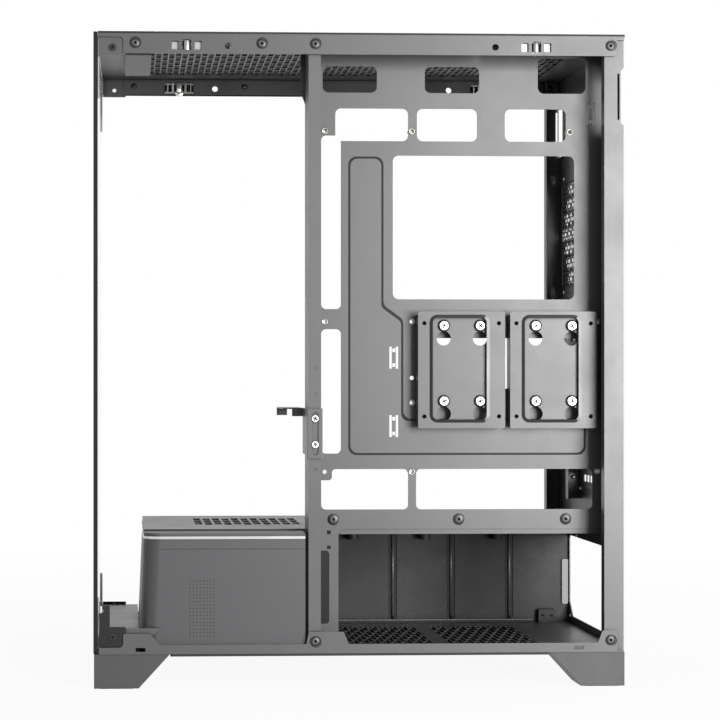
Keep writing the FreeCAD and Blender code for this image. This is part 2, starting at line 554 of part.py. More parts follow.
def make_rear_panel():
    """Back sheet with its two pillars and the openings for board, fan, cards and supply."""
    body = new_body("rear_panel")
    pad(body, "YZ", BACK_INNER, "steel", box(INNER, "foot_height", FAR_INNER, CEILING))
    left = f"({BACK} - pillar_width)"
    for far in (False, True):
        face = f"({FAR_INNER} - steel)" if far else INNER
        lip = f"({FAR_INNER} - pillar_lip)" if far else INNER
        pad(body, "XZ", face, "steel", box(left, FLOOR, BACK, CEILING))
        pad(body, "YZ", left, "steel", box(lip, FLOOR, f"({lip} + pillar_lip)", CEILING))
        notch = f"({ROOF} - notch_top - notch_height)"
        rivet_x = f"({BACK} - pillar_rivet_setback)"
        cut(body, "XZ", face, "steel", (rivet_x, RIVET_HIGH, "rivet_hole"),
            (rivet_x, RIVET_LOW, "rivet_hole"))
        edge, notch_top = f"({BACK} - notch_depth)", f"({notch} + notch_height)"
        cut(body, "XZ", lip, "pillar_lip", [
            (edge, f"({notch} + notch_slope / 2)"), (f"({BACK} + steel)", f"({notch} - notch_slope / 2)"),
            (f"({BACK} + steel)", f"({notch_top} + notch_slope / 2)"),
            (edge, f"({notch_top} - notch_slope / 2)")])
        slot_right = f"({edge} - notch_land)"
        cut(body, "XZ", face, "steel", box(
            f"({slot_right} - notch_slot)", f"({notch} + notch_slope)", slot_right,
            f"({notch_top} - notch_slope)"))
    io_low, io_near = f"({BOARD_Z} + io_opening_rise)", f"({TRAY} + io_opening_depth)"
    fan_y, fan_z = "fan_side", "(foot_height + fan_rise)"
    holes = [(f"({fan_y} {a} fan_holes / 2)", f"({fan_z} {b} fan_holes / 2)", "fan_hole")
             for a in "+-" for b in "+-"]
    body_near, body_low = f"({NEAR} + psu_body_near)", f"({FLOOR} + psu_body_rise)"
    holes += [(f"({body_near} + {across})", f"({body_low} + {up})", "psu_hole")
              for across, up in PSU_HOLES]
    psu_y, psu_z = f"({NEAR} + psu_near)", f"({FLOOR} + psu_opening_rise)"
    psu_far, psu_top = f"({psu_y} + psu_opening_width)", f"({psu_z} + psu_opening_height)"
    psu = [(psu_y, psu_z, 3), (f"({psu_far} - psu_corner_cut)", psu_z),
           (psu_far, f"({psu_z} + psu_corner_cut)"), (psu_far, psu_top, 3), (psu_y, psu_top, 3)]
    cut(body, "YZ", BACK_INNER, "steel", psu, *holes, box(
        io_near, io_low, f"({io_near} + io_opening_width)", f"({io_low} + io_opening_length)", 1.0))
    slot = cut(body, "YZ", BACK_INNER, "steel", box(
        SLOT_NEAR, f"({SLOT_LOW} - slot_height / 2)", f"({SLOT_NEAR} + slot_length)",
        f"({SLOT_LOW} + slot_height / 2)"))
    repeat(body, slot, ("Z", str(CARD_SLOTS), "slot_pitch"))
    for row in range(-VENT_RINGS, VENT_RINGS + 1):
        count = 2 * VENT_RINGS + 1 - abs(row)
        cell = cut(body, "YZ", BACK_INNER, "steel", hexagon(
            f"({fan_y} - vent_pitch * {(count - 1) / 2})",
            f"({fan_z} + vent_pitch * {row * math.sin(math.radians(60)):.4f})"))
        repeat(body, cell, ("Y", str(count), "vent_pitch"))


def hexagon(across, up):
    """A six-sided hole standing on a corner."""
    angles = [math.radians(60 * k + 30) for k in range(6)]
    return [(f"({across} + vent_cell * {math.cos(a):.4f})", f"({up} + vent_cell * {math.sin(a):.4f})")
            for a in angles]


def make_card_cover(index):
    """Ribbed blanking strip of one card slot with its screw tab."""
    body = new_body(f"slot_cover_{index + 1}")
    middle = f"({SLOT_LOW} + {index} * slot_pitch)"
    face = f"({BACK_INNER} - cover_thickness)"
    near = f"({TRAY} + 2 * steel)"
    shelf_side = f"({near} + cover_length)"
    low, high = f"({middle} - cover_width / 2)", f"({middle} + cover_width / 2)"
    pad(body, "YZ", face, "cover_thickness", box(near, low, shelf_side, high))
    pad(body, "XY", low, "cover_width", box(
        f"({face} - cover_tab)", f"({shelf_side} - cover_thickness)", face, shelf_side))
    vent_near = f"({SLOT_NEAR} + cover_vent)"
    vent = cut(body, "YZ", face, "cover_thickness", box(
        vent_near, f"({middle} - cover_vent / 2)", f"({vent_near} + cover_vent_width)",
        f"({middle} + cover_vent / 2)"))
    repeat(body, vent, ("Y", "cover_vents", "cover_vent_pitch"))
    cut(body, "XZ", f"({shelf_side} - cover_thickness)", "cover_thickness",
        (CARD_SCREW_X, middle, "(screw_shank + gap)"))


def make_card_shelf():
    """Ledge that the screw tabs of the card slots rest on, with an ear at each end."""
    body = new_body("card_shelf")
    top = f"({TRAY} + 2 * steel + cover_length - cover_thickness)"
    low = f"({SLOT_LOW} - slot_pitch / 2 - steel)"
    high = f"({SLOT_LOW} + {CARD_SLOTS - 1} * slot_pitch + slot_pitch / 2 + steel)"
    right = f"({BACK_INNER} - cover_thickness - gap)"
    left = f"({right} - shelf_length)"
    shelf = f"({top} - steel)"
    pad(body, "XZ", shelf, "steel", [
        (left, f"({low} - shelf_ear)"), (BACK_INNER, f"({low} - shelf_ear)"), (BACK_INNER, low),
        (right, low), (right, high), (BACK_INNER, high), (BACK_INNER, f"({high} + shelf_ear)"),
        (left, f"({high} + shelf_ear)")])
    pad(body, "YZ", left, "steel", box(
        f"({shelf} - shelf_ear)", f"({low} - shelf_ear)", shelf, f"({high} + shelf_ear)"))
    hole = cut(body, "XZ", shelf, "steel", (CARD_SCREW_X, SLOT_LOW, "post_hole"))
    repeat(body, hole, ("Z", str(CARD_SLOTS), "slot_pitch"))


def make_tray():
    """Motherboard tray: one sheet with a leg, cable windows and the chamber's mouth below."""
    body = new_body("motherboard_tray")
    leg = f"({POST} + mouth_front)"
    pad(body, "XZ", TRAY, "steel", [
        (POST, FLOOR), (leg, FLOOR), (leg, f"({SHROUD_TOP} - gap)", "mouth_corner"),
        (BACK_INNER, f"({SHROUD_TOP} - gap)"), (BACK_INNER, CEILING), (POST, CEILING)])
    for name in WINDOWS:
        left, right = (f"({BOARD_X} + {name}_{side})" for side in ("left", "right"))
        bottom, top = (f"({BOARD_Z} + {name}_{side})" for side in ("bottom", "top"))
        outline = box(left, bottom, right, top, f"{name}_corner")
        if name == "low_window_front":
            inner, tab = f"({left} + tab_reach)", f"({top} - tab_drop)"
            outline = outline[:3] + [(inner, top, "fold"), (inner, tab, "fold"), (left, tab)]
        cut(body, "XZ", TRAY, "steel", outline)
    cut(body, "XZ", TRAY, "steel", *[
        (x, z, "(standoff_neck + snug / 2)") for x, z in (*STANDOFFS, OPEN_STANDOFF)], *OPEN_HOLES)
    cut(body, "XZ", TRAY, "steel", *[(x, z, "rivet_hole") for x, z in TRAY_RIVETS])
    cut(body, "XZ", TRAY, "steel", *[
        (x, z, "(key_thread + snug / 2)") for k in (0, 1) for x, z in key_places(k)])
    for across, up in (("loop_front", "loop_middle"), ("loop_front", "loop_low"),
                       ("loop_rear", "loop_high")):
        left, bottom = f"({BOARD_X} - {across})", f"({BOARD_Z} + {up})"
        bridge, top = f"({left} + loop_slot)", f"({bottom} + loop_height)"
        right = f"({bridge} + loop_bridge)"
        low_hole = box(f"({bridge} + gap)", f"({bottom} + bend)", f"({right} - gap)",
                       f"({bottom} + bend + loop_hole)")
        high_hole = box(f"({bridge} + gap)", f"({top} - bend - loop_hole)", f"({right} - gap)",
                        f"({top} - bend)")
        pad(body, "XZ", f"({TRAY} - loop_proud)", "loop_proud", box(
            bridge, f"({bottom} + bend + loop_hole)", right, f"({top} - bend - loop_hole)"))
        cut(body, "XZ", TRAY, "steel", low_hole, high_hole, *[
            box(start, bottom, f"({start} + loop_slot)", top) for start in (left, right)])
    clip = f"({leg} - mouth_clip)"
    cut(body, "XZ", TRAY, "steel", *[
        box(clip, f"({SHROUD_TOP} - {drop})", f"({clip} + loop_bridge)",
            f"({SHROUD_TOP} - {drop} + fold)") for drop in ("clip_slot_1", "clip_slot_2")])
    cut(body, "XZ", TRAY, "leg_panel_depth", box(
        f"({POST} + leg_panel_start)", f"({FLOOR} + leg_panel_rise)", f"({leg} - leg_panel_end)",
        f"({SHROUD_TOP} - leg_panel_drop)", "fold"))
    cut(body, "XZ", TRAY, "emboss_depth", emboss("0"), emboss("emboss_width"))


def emboss(inset):
    """One edge of the pressed groove that runs down the tray and along its foot."""
    left, right = f"({BOARD_X} - groove_front + {inset})", f"({BOARD_X} - groove_middle - {inset})"
    end, inner = f"({BOARD_X} - groove_end - {inset})", f"({BOARD_X} - groove_step - {inset})"
    low, shelf = f"({BOARD_Z} + groove_low + {inset})", f"({BOARD_Z} + groove_shelf - {inset})"
    jog, top = f"({BOARD_Z} + groove_jog - {inset})", f"({BOARD_Z} + groove_top - {inset})"
    round_off = f"(groove_corner - {inset} / 2)"
    return [(left, low, round_off), (end, low, round_off), (end, shelf, round_off),
            (inner, shelf, round_off), (inner, f"({jog} - groove_slope)", round_off),
            (right, jog, round_off), (right, top, round_off), (left, top, round_off)]


def make_post():
    """Folded upright between the open front and the tray, with holes for a card holder."""
    body = new_body("middle_post")
    pad(body, "XZ", INNER, "steel", box(POST, FLOOR, f"({POST} + post_face)", CEILING))
    pad(body, "YZ", POST, "steel", box(INNER, FLOOR, TRAY, CEILING))
    back = f"({TRAY} - steel)"
    pad(body, "XZ", back, "steel", box(POST, FLOOR, f"({POST} + post_face - steel)", CEILING))
    edge, low = f"({POST} - gusset_width)", f"({CEILING} - gusset_height)"
    pad(body, "XZ", back, "steel", [
        (f"({POST} + steel)", CEILING), (edge, CEILING), (edge, f"({low} + gusset_slope)"),
        (POST, low), (f"({POST} + steel)", low)])
    rises = ["post_hole_1", "post_hole_2", "post_hole_3", "holder_screw_1", "holder_screw_2"]
    cut(body, "XZ", INNER, "steel", *[
        (POST_MIDDLE, f"(foot_height + {rise})", "post_hole") for rise in rises])
    cut(body, "XZ", INNER, "steel", *[
        (POST_MIDDLE, z, "rivet_hole") for z in (RIVET_HIGH, RIVET_LOW)])


def make_card_holder():
    """Slotted plate that slides on the post, with an arm reaching under a long card."""
    body = new_body("card_holder")
    face = f"({INNER} - steel)"
    left, low = f"({POST} - steel)", "(foot_height + holder_bottom)"
    top = f"({low} + holder_height)"
    pad(body, "XZ", face, "steel", box(left, low, f"({left} + holder_width)", top))
    pad(body, "YZ", left, "steel", box(face, f"({low} + fold)", f"({face} + holder_side_depth)", top))
    slot_left = f"({POST_MIDDLE} - holder_slot_width / 2)"
    cut(body, "XZ", face, "steel", box(
        slot_left, f"({low} + holder_slot_inset)", f"({slot_left} + holder_slot_width)",
        f"({top} - holder_slot_inset)", "(holder_slot_width / 2 - snug / 2)"))
    arm_left, arm_near = f"({left} - holder_arm_length)", f"({face} + holder_arm_start)"
    arm_top = f"({top} - steel)"
    pad(body, "XY", arm_top, "steel", box(
        arm_left, arm_near, f"({left} + steel)", f"({arm_near} + holder_arm_width)"))
    for x, y in ((arm_left, f"({arm_near} + holder_arm_width - steel)"),
                 (f"({left} - holder_tab_length)", arm_near)):
        pad(body, "XZ", y, "steel", box(x, f"({arm_top} - holder_tab)", f"({x} + holder_tab_length)",
                                        f"({arm_top} + steel)"))


def make_shroud():
    """Steel chamber over the power supply: roof, riveted flange and ribbed far wall."""
    body = new_body("supply_shroud")
    under = f"({SHROUD_TOP} - steel)"
    pad(body, "XY", under, "steel", box(COVER_FRONT, TRAY_BACK, BACK_INNER, COVER_FAR))
    pad(body, "XZ", TRAY_BACK, "steel", box(
        f"({POST} + fold)", under, f"({BACK_INNER} - pillar_width)",
        f"({SHROUD_TOP} + shroud_flange)"))
    pad(body, "XZ", TRAY_BACK, "steel", box(
        f"({POST} + mouth_front - steel)", f"({SHROUD_TOP} - mouth_lip)", BACK_INNER, SHROUD_TOP))
    wall_left = f"({COVER_END} + gap)"
    pad(body, "XZ", WALL, "steel", box(wall_left, FLOOR, BACK_INNER, SHROUD_TOP))
    rib_low, rib_middle = f"({FLOOR} + bend)", f"({POST} + rib_first)"
    rib = pad(body, "XZ", f"({WALL} + steel)", "rib_height", box(
        f"({rib_middle} - rib_width / 2 - steel)", rib_low, f"({rib_middle} + rib_width / 2 + steel)",
        f"({under} - bend)"))
    repeat(body, rib, ("X", "rib_count", "rib_pitch"))
    channel = cut(body, "XZ", WALL, "rib_height", box(
        f"({rib_middle} - rib_width / 2)", f"({rib_low} + steel)", f"({rib_middle} + rib_width / 2)",
        f"({under} - bend - steel)"))
    repeat(body, channel, ("X", "rib_count", "rib_pitch"))
    boss = pad(body, "XY", f"({under} - boss_height)", "boss_height", (
        f"({POST} + boss_first)", f"({WALL} - boss_inset)", "boss_radius"))
    repeat(body, boss, ("X", "rib_count", "boss_pitch"))
    cut(body, "XZ", TRAY_BACK, "steel", *[(x, z, "rivet_hole") for x, z in TRAY_RIVETS])
    left, near = f"({COVER_FRONT} + shroud_mesh_front)", f"({NEAR} + shroud_mesh_near)"
    for shift in (0, 1):
        x = f"({left} + {shift} * shroud_slot_pitch)"
        y = f"({near} - {shift} * shroud_slot_shift)"
        slot = cut(body, "XY", under, "steel", box(
            x, y, f"({x} + shroud_slot_width)", f"({y} + shroud_slot_length)"))
        columns = "shroud_columns" if shift == 0 else "(shroud_columns - 1)"
        repeat(body, slot, ("X", columns, "2 * shroud_slot_pitch"))
    block_x = f"({BACK_INNER} - block_setback - block_length / 2)"
    block_z = f"({FLOOR} + block_height / 2)"
    cut(body, "XZ", WALL, "steel", *[
        (f"({block_x} {sign} block_spacing / 2)", block_z, "block_hole") for sign in "-+"])


def make_cable_block():
    """Moulded block low on the chamber's wall with two screw holes through it."""
    body = new_body("cable_block")
    left = f"({BACK_INNER} - block_setback - block_length)"
    near = f"({WALL} - block_depth)"
    pad(body, "XZ", near, "block_depth", box(
        left, FLOOR, f"({left} + block_length)", f"({FLOOR} + block_height)", "bend"))
    cut(body, "XZ", near, "block_depth", *[
        (f"({left} + block_length / 2 {sign} block_spacing / 2)", f"({FLOOR} + block_height / 2)",
         "block_hole") for sign in "-+"])


def make_seal():
    """Foam strip beside the power supply's opening."""
    body = new_body("supply_seal")
    left = f"({BACK_INNER} - steel - seal_length)"
    pad(body, "XZ", f"({WALL} - seal_depth)", "seal_depth", box(
        left, f"({FLOOR} + seal_rise)", f"({left} + seal_length)",
        f"({FLOOR} + seal_rise + seal_height)", "bend"))


def draw_plan(body, level, inset, right):
    """Plan of the moulded cover at one level, tapering with its draft."""
    lean = f"(cover_draft * ({COVER_TOP} - ({level})) / ({COVER_TOP} - {FLOOR}))"
    left = f"({COVER_FRONT} - {lean} + {inset})"
    near, far = f"({COVER_NEAR} + {inset})", f"({COVER_FAR} - {inset})"
    radius = f"(cover_corner - {inset})"
    corners = [(left, near, radius), (right, near), (right, far), (left, far, radius)]
    return draw(body, "XY", level, [corners])


def make_shroud_cover():
    """Drafted moulding over the front of the chamber, open underneath and to the rear."""
    body = new_body("shroud_cover")
    ceiling = f"({COVER_TOP} - cover_wall)"
    for kind, inset, top, right in (("Additive", "0", COVER_TOP, COVER_END),
                                    ("Subtractive", "cover_wall", ceiling, f"({COVER_END} + gap)")):
        loft = body.newObject(f"PartDesign::{kind}Loft", body.Label + "_loft")
        loft.Profile = draw_plan(body, FLOOR, inset, right)
        loft.Sections = [draw_plan(body, top, inset, right)]
        loft.Ruled = True
    near_face = f"({COVER_NEAR})"
    seam = f"({COVER_TOP} - seam_drop)"
    cut(body, "XZ", near_face, "seam_depth", box(
        f"({COVER_FRONT} + cover_corner)", seam, f"({COVER_END} + gap)",
        f"({seam} + seam_width)"))
    cut(body, "XY", ceiling, "cover_wall", box(
        f"({COVER_FRONT} + cover_vent_front)", f"({NEAR} + cover_vent_near)",
        f"({COVER_FRONT} + cover_vent_front + cover_vent_length - fold)",
        f"({NEAR} + cover_vent_near + cover_vent_depth)", "bend"))
    left, low = f"({COVER_FRONT} + dot_place)", f"({FLOOR} + dot_rise)"
    dot = cut(body, "XZ", near_face, "dot_depth", box(
        left, low, f"({left} + dot_size)", f"({low} + dot_size)"))
    repeat(body, dot, ("X", "dot_columns", "dot_pitch"), ("Z", "dot_rows", "dot_pitch"))


def make_trim():
    """Bright strip round the moulded cover, just under its top edge."""
    body = new_body("cover_trim")
    low = f"({COVER_TOP} - trim_drop - trim_height)"
    inner, outer = f"({COVER_FRONT} - gap)", f"({COVER_FRONT} - gap - trim_proud)"
    near, proud = COVER_NEAR, f"({COVER_NEAR} - trim_proud)"
    radius = "(cover_corner + trim_proud)"
    pad(body, "XY", low, "trim_height", [
        (COVER_END, near), (inner, near, "cover_corner"), (inner, COVER_FAR), (outer, COVER_FAR),
        (outer, proud, radius), (COVER_END, proud)])


def make_front_ledge():
    """Folded step across the front of the floor that the glass stands against."""
    body = new_body("front_ledge")
    near, far = INNER, FAR_INNER
    top = f"({FLOOR} + ledge_height)"
    right = f"({FRAME_FRONT} + ledge_length)"
    pad(body, "XY", f"({top} - steel)", "steel", box(FRAME_FRONT, near, right, far))
    pad(body, "YZ", FRAME_FRONT, "steel", box(near, FLOOR, far, top))
    lip_end, lip_top = f"({FRAME_FRONT} + ledge_lip_length)", f"({top} + ledge_lip)"
    pad(body, "XZ", near, "steel", [
        (FRAME_FRONT, f"({top} - steel)"),
        (f"({FRAME_FRONT} + front_rise_end)", f"({top} - steel)", "fold"),
        (lip_end, f"({lip_top} - bend)"), (lip_end, lip_top), (FRAME_FRONT, lip_top)])
    for low in (near, f"({far} - screw_length)"):
        cut(body, "XZ", low, "screw_length", (*bracket_screw(False), "post_hole"))


def make_glass():
    """Tempered front pane."""
    body = new_body("front_glass")
    pad(body, "YZ", FRONT, "glass_thickness", box(
        f"({NEAR} + glass_inset)", "(foot_height + glass_lift)", f"({FAR} - glass_inset)",
        "case_height", "bend"))


def make_glass_holder(name, high, far):
    """Sprung tongue bonded to the pane: the pane hangs or stands by it."""
    body = new_body(name)
    face = f"({FAR} - glass_inset - tongue_inset - tongue_width)" if far else (
        f"({NEAR} + glass_inset + tongue_inset)")
    top = CEILING if high else f"({FLOOR} + ledge_height + tongue_lower)"
    low = f"({CEILING} - tongue_upper)" if high else f"({FLOOR} + ledge_height)"
    pad(body, "YZ", GLASS_INNER, "tongue_thickness", box(
        face, low, f"({face} + tongue_width)", top))


def make_corner_bracket(name, high, far):
    """Black plate in the open corner of a rail; the lower ones carry the catch of the pane."""
    body = new_body(name)
    plate = FAR_INNER if far else f"({INNER} - steel)"
    left, low_rise = f"({FRAME_FRONT} + gap)", f"({FLOOR} + bracket_low_rise)"
    bottom = f"({CEILING} - bracket_height)" if high else low_rise
    top = CEILING if high else f"({low_rise} + bracket_low_height)"
    pad(body, "XZ", plate, "steel", box(left, bottom, f"({left} + bracket_length)", top, "bend"))
    if high:
        turn = f"({FAR_INNER} + steel - bracket_return)" if far else plate
        pad(body, "YZ", left, "steel", box(turn, bottom, f"({turn} + bracket_return)", top))
    else:
        deep = f"({FAR_INNER} + steel - catch_depth)" if far else plate
        base, right = f"({top} - bend / 2)", f"({left} + catch_length)"
        tip = f"({base} + catch_height)"
        pad(body, "XZ", deep, "catch_depth", [
            (left, base), (right, base), (right, tip, "bend"), (f"({left} + catch_notch)", tip),
            (f"({left} + catch_notch)", f"({tip} - catch_notch)"),
            (f"({left} + 2 * catch_notch)", f"({tip} - 2 * catch_notch)"),
            (f"({left} + catch_notch)", f"({tip} - 3 * catch_notch)"),
            (left, f"({tip} - 3 * catch_notch)")])
    cut(body, "XZ", plate, "steel", (*bracket_screw(high), "post_hole"))


def bracket_screw(high):
    """Place of the screw of an upper or a lower corner bracket."""
    rise = f"({CEILING} - bracket_drop)" if high else (
        f"({FLOOR} + bracket_low_rise + bracket_low_place)")
    return f"({FRAME_FRONT} + gap + bracket_place)", rise


def make_top_filter():
    """Magnetic dust filter: a frame with a fine woven skin, lying on the roof."""
    body = new_body("top_filter")
    left = f"({FRAME_FRONT} + strip_length + filter_seam)"
    near, far = f"({NEAR} + filter_inset)", f"({FAR} - filter_inset)"
    pad(body, "XY", ROOF, "filter_thickness", box(left, near, REAR, far, "bend"))
    inner = box(f"({left} + filter_border)", f"({near} + filter_border * 2)",
                f"({REAR} - filter_border)", f"({far} - filter_border * 2)", "fold")
    cut(body, "XY", f"({ROOF} + filter_skin)", "filter_thickness", inner)


def make_base_filter():
    """Dust filter held by magnets under the floor, between the feet."""
    body = new_body("base_filter")
    left = f"({FRONT} + foot_margin + foot_length + base_filter_gap)"
    right = f"({REAR} - foot_margin - foot_length - base_filter_gap)"
    low = "(foot_height - base_filter_thickness)"
    near, far = f"({NEAR} + filter_inset)", f"({FAR} - filter_inset)"
    pad(body, "XY", low, "base_filter_thickness", box(left, near, right, far, "bend"))
    cut(body, "XY", low, "(base_filter_thickness - filter_skin)", box(
        f"({left} + filter_border)", f"({near} + filter_border)",
        f"({right} - filter_border)", f"({far} - filter_border)", "fold"))


def make_control_panel():
    """Moulded strip along the roof's front edge, with the housing of the controls below it."""
    body = new_body("control_panel")
    right = f"({FRAME_FRONT} + strip_length)"
    near, far = f"({NEAR} + filter_inset)", f"({FAR} - filter_inset)"
    pad(body, "XY", ROOF, "filter_thickness", box(
        f"({GLASS_INNER} + glass_lift)", near, right, far, "bend"))
    left, low = HOUSING
    inside = box(f"({left} + plastic)", f"({low} + plastic)",
                 f"({left} + housing_length - plastic)", f"({low} + housing_width - plastic)")
    outside = box(left, low, f"({left} + housing_length)", f"({low} + housing_width)")
    pad(body, "XY", BOARD_LEVEL, "(housing_depth - plastic)", outside, inside)
    middle = HOUSING_MIDDLE
    holes = [(middle, f"({low} + power_place)", "(button_radius + button_gap)"),
             (middle, f"({low} + reset_place)", "(reset_radius + button_gap)")]
    holes += [(middle, f"({low} + jack_{k}_place)", "(jack_radius + snug)") for k in (1, 2)]
    slots = []
    for place, width, length in PORTS.values():
        y = f"({low} + {place})"
        slots.append(box(f"({middle} - {width} / 2 - snug)", f"({y} - {length} / 2 - snug)",
                         f"({middle} + {width} / 2 + snug)", f"({y} + {length} / 2 + snug)"))
    cut(body, "XY", ROOF, "filter_thickness", *holes, *slots)


def make_control_board():
    """Circuit board of the controls, with the two switches that the buttons press."""
    body = new_body("control_board")
    left, low = HOUSING
    pad(body, "XY", BOARD_LEVEL, "board_thickness", box(
        f"({left} + plastic + snug)", f"({low} + plastic + snug)",
        f"({left} + housing_length - plastic - snug)",
        f"({low} + housing_width - plastic - snug)"))
    height = f"({BUTTON_LOW} - button_travel - snug - {BOARD_TOP})"
    pad(body, "XY", BOARD_TOP, height, *[
        (HOUSING_MIDDLE, f"({low} + {place})", "switch_radius")
        for place in ("power_place", "reset_place")])


def make_control_floor():
    """Snap-in plate that closes the housing of the controls from below."""
    body = new_body("control_floor")
    left, low = HOUSING
    pad(body, "XY", f"({ROOF} - housing_depth)", "plastic", box(
        left, low, f"({left} + housing_length)", f"({low} + housing_width)"))


def make_button(name, radius, place):
    """Push button, flush with the strip, held in by the flange under it."""
    body = new_body(name)
    y = f"({HOUSING[1]} + {place})"
    pad(body, "XY", BUTTON_LOW, "button_depth", (HOUSING_MIDDLE, y, radius))
    pad(body, "XY", f"({ROOF} - button_flange)", "button_flange", (
        HOUSING_MIDDLE, y, f"({radius} + button_lip)"))
    cut(body, "XY", "(case_height - gap)", "gap", (HOUSING_MIDDLE, y, f"({radius} * button_dish)"))


def make_port(name, place, width, length):
    """Metal shell of a data socket with its contact tongue, standing on the board."""
    body = new_body(name)
    middle, y, level = HOUSING_MIDDLE, f"({HOUSING[1]} + {place})", BOARD_TOP
    height = f"(case_height - port_recess - {level})"
    outer = box(f"({middle} - {width} / 2)", f"({y} - {length} / 2)",
                f"({middle} + {width} / 2)", f"({y} + {length} / 2)", "port_shell")
    inner = box(f"({middle} - {width} / 2 + port_shell)", f"({y} - {length} / 2 + port_shell)",
                f"({middle} + {width} / 2 - port_shell)", f"({y} + {length} / 2 - port_shell)")
    pad(body, "XY", level, height, outer)
    cut(body, "XY", f"({level} + plastic)", height, inner)
    thick, end = f"({width} / 4)", f"({length} / 2 - 2 * port_shell)"
    pad(body, "XY", level, f"({height} - port_shell)", box(
        f"({middle} - {thick} / 2)", f"({y} - {end})",
        f"({middle} + {thick} / 2)", f"({y} + {end})"))


def make_jack(name, place):
    """Round audio socket standing on the board."""
    body = new_body(name)
    middle, y, level = HOUSING_MIDDLE, f"({HOUSING[1]} + {place})", BOARD_TOP
    height = f"(case_height - port_recess - {level})"
    pad(body, "XY", level, height, (middle, y, "jack_radius"))
    cut(body, "XY", f"({level} + plastic)", height, (middle, y, "jack_bore"))


def make_drive_bracket(index):
    """Pressed bracket for a 2.5-inch drive: dished face, keyholes and folded sides."""
    body = new_body(f"drive_bracket_{index + 1}")
    left, low, face = drive_corner(index)
    right, top = f"({left} + drive_length)", f"({low} + drive_height)"
    dish_left, dish_low = f"({left} + dish_inset)", f"({low} + dish_rise)"
    dish_right, dish_top = f"({dish_left} + dish_length)", f"({dish_low} + dish_height)"
    dish = box(dish_left, dish_low, dish_right, dish_top, "dish_corner")
    inside = box(f"({dish_left} + steel)", f"({dish_low} + steel)", f"({dish_right} - steel)",
                 f"({dish_top} - steel)", "(dish_corner - steel)")
    pad(body, "XZ", face, "steel", box(left, low, right, top, "bend"))
    for side in (left, f"({right} - steel)"):
        pad(body, "YZ", side, "steel", box(face, f"({low} + fold)", TRAY, f"({top} - fold)"))
    pad(body, "XZ", face, "(dish_depth + steel)", dish)
    cut(body, "XZ", face, "dish_depth", inside)
    holes = [(f"({left} + drive_length / 2 {a} drive_holes_x / 2)",
              f"({low} + drive_height / 2 {b} drive_holes_z / 2)", "drive_hole")
             for a in "-+" for b in "-+"]
    cut(body, "XZ", face, "steel", *holes)
    floor = f"({face} + dish_depth)"
    for x, z in key_places(index):
        cut(body, "XZ", floor, "steel", (x, f"({z} - key_drop)", "key_radius"))
        cut(body, "XZ", floor, "steel", box(
            f"({x} - key_slot)", f"({z} - key_drop)", f"({x} + key_slot)", f"({z} + key_slot)",
            "(key_slot - snug / 2)"))


def drive_corner(index):
    """Lower front corner and near face of one drive bracket."""
    left = f"({POST} + drive_front + {index} * drive_pitch)"
    return left, "(foot_height + drive_rise)", f"({TRAY} - drive_stand)"


def key_places(index):
    """Screw places of one drive bracket."""
    left, low, _ = drive_corner(index)
    return [(f"({left} + key_first + {k} * key_pitch)", f"({low} + {rise})")
            for rise in ("key_low", "key_high") for k in (0, 1)]


def make_foot(name, rear, far):
    """Wedge foot with a sloping inner side and a rubber sole moulded to it."""
    body = new_body(name)
    near = f"({FAR} - foot_inset - foot_depth)" if far else f"({NEAR} + foot_inset)"
    sign, outer = ("-", f"({REAR} - foot_margin)") if rear else ("+", f"({FRONT} + foot_margin)")
    corners = [(outer, "sole_proud"), (f"({outer} {sign} foot_sole)", "sole_proud"),
               (f"({outer} {sign} foot_length)", "foot_height"), (outer, "foot_height")]
    pad(body, "XZ", near, "foot_depth", corners[::-1] if rear else corners)
    ends = (f"({outer} {sign} sole_inset)", f"({outer} {sign} (foot_sole - sole_inset))")
    left, right = ends[::-1] if rear else ends
    pad(body, "XY", "0", "(2 * sole_proud)", box(
        left, f"({near} + sole_inset)", right, f"({near} + foot_depth - sole_inset)", "bend"))


def make_turned(name, profile):
    """A small turned piece about the Y axis, its head on the near side, used in groups."""
    body = new_body(name, is_node=False)
    revolve(body, profile)
    return body


def rivet_profile(grip):
    """Half section of a rivet: domed head, shank and the swelling behind the sheets."""
    return [("-rivet_head_height", "0"), ("-rivet_head_height", "(rivet_head / 2)"),
            ("0", "rivet_head"), ("0", "rivet_shank"), (grip, "rivet_shank"),
            (grip, "rivet_tail"), (f"({grip} + rivet_shank)", "rivet_shank"),
            (f"({grip} + rivet_shank)", "0")]


def screw_profile(head, height, shank, length):
    """Half section of a screw: head, shank and a short point."""
    return [(f"-{height}", "0"), (f"-{height}", f"({head} - gap)"), (f"(gap - {height})", head),
            ("0", head), ("0", shank), (f"({length} - gap)", shank),
            (length, f"({shank} - gap)"), (length, "0")]


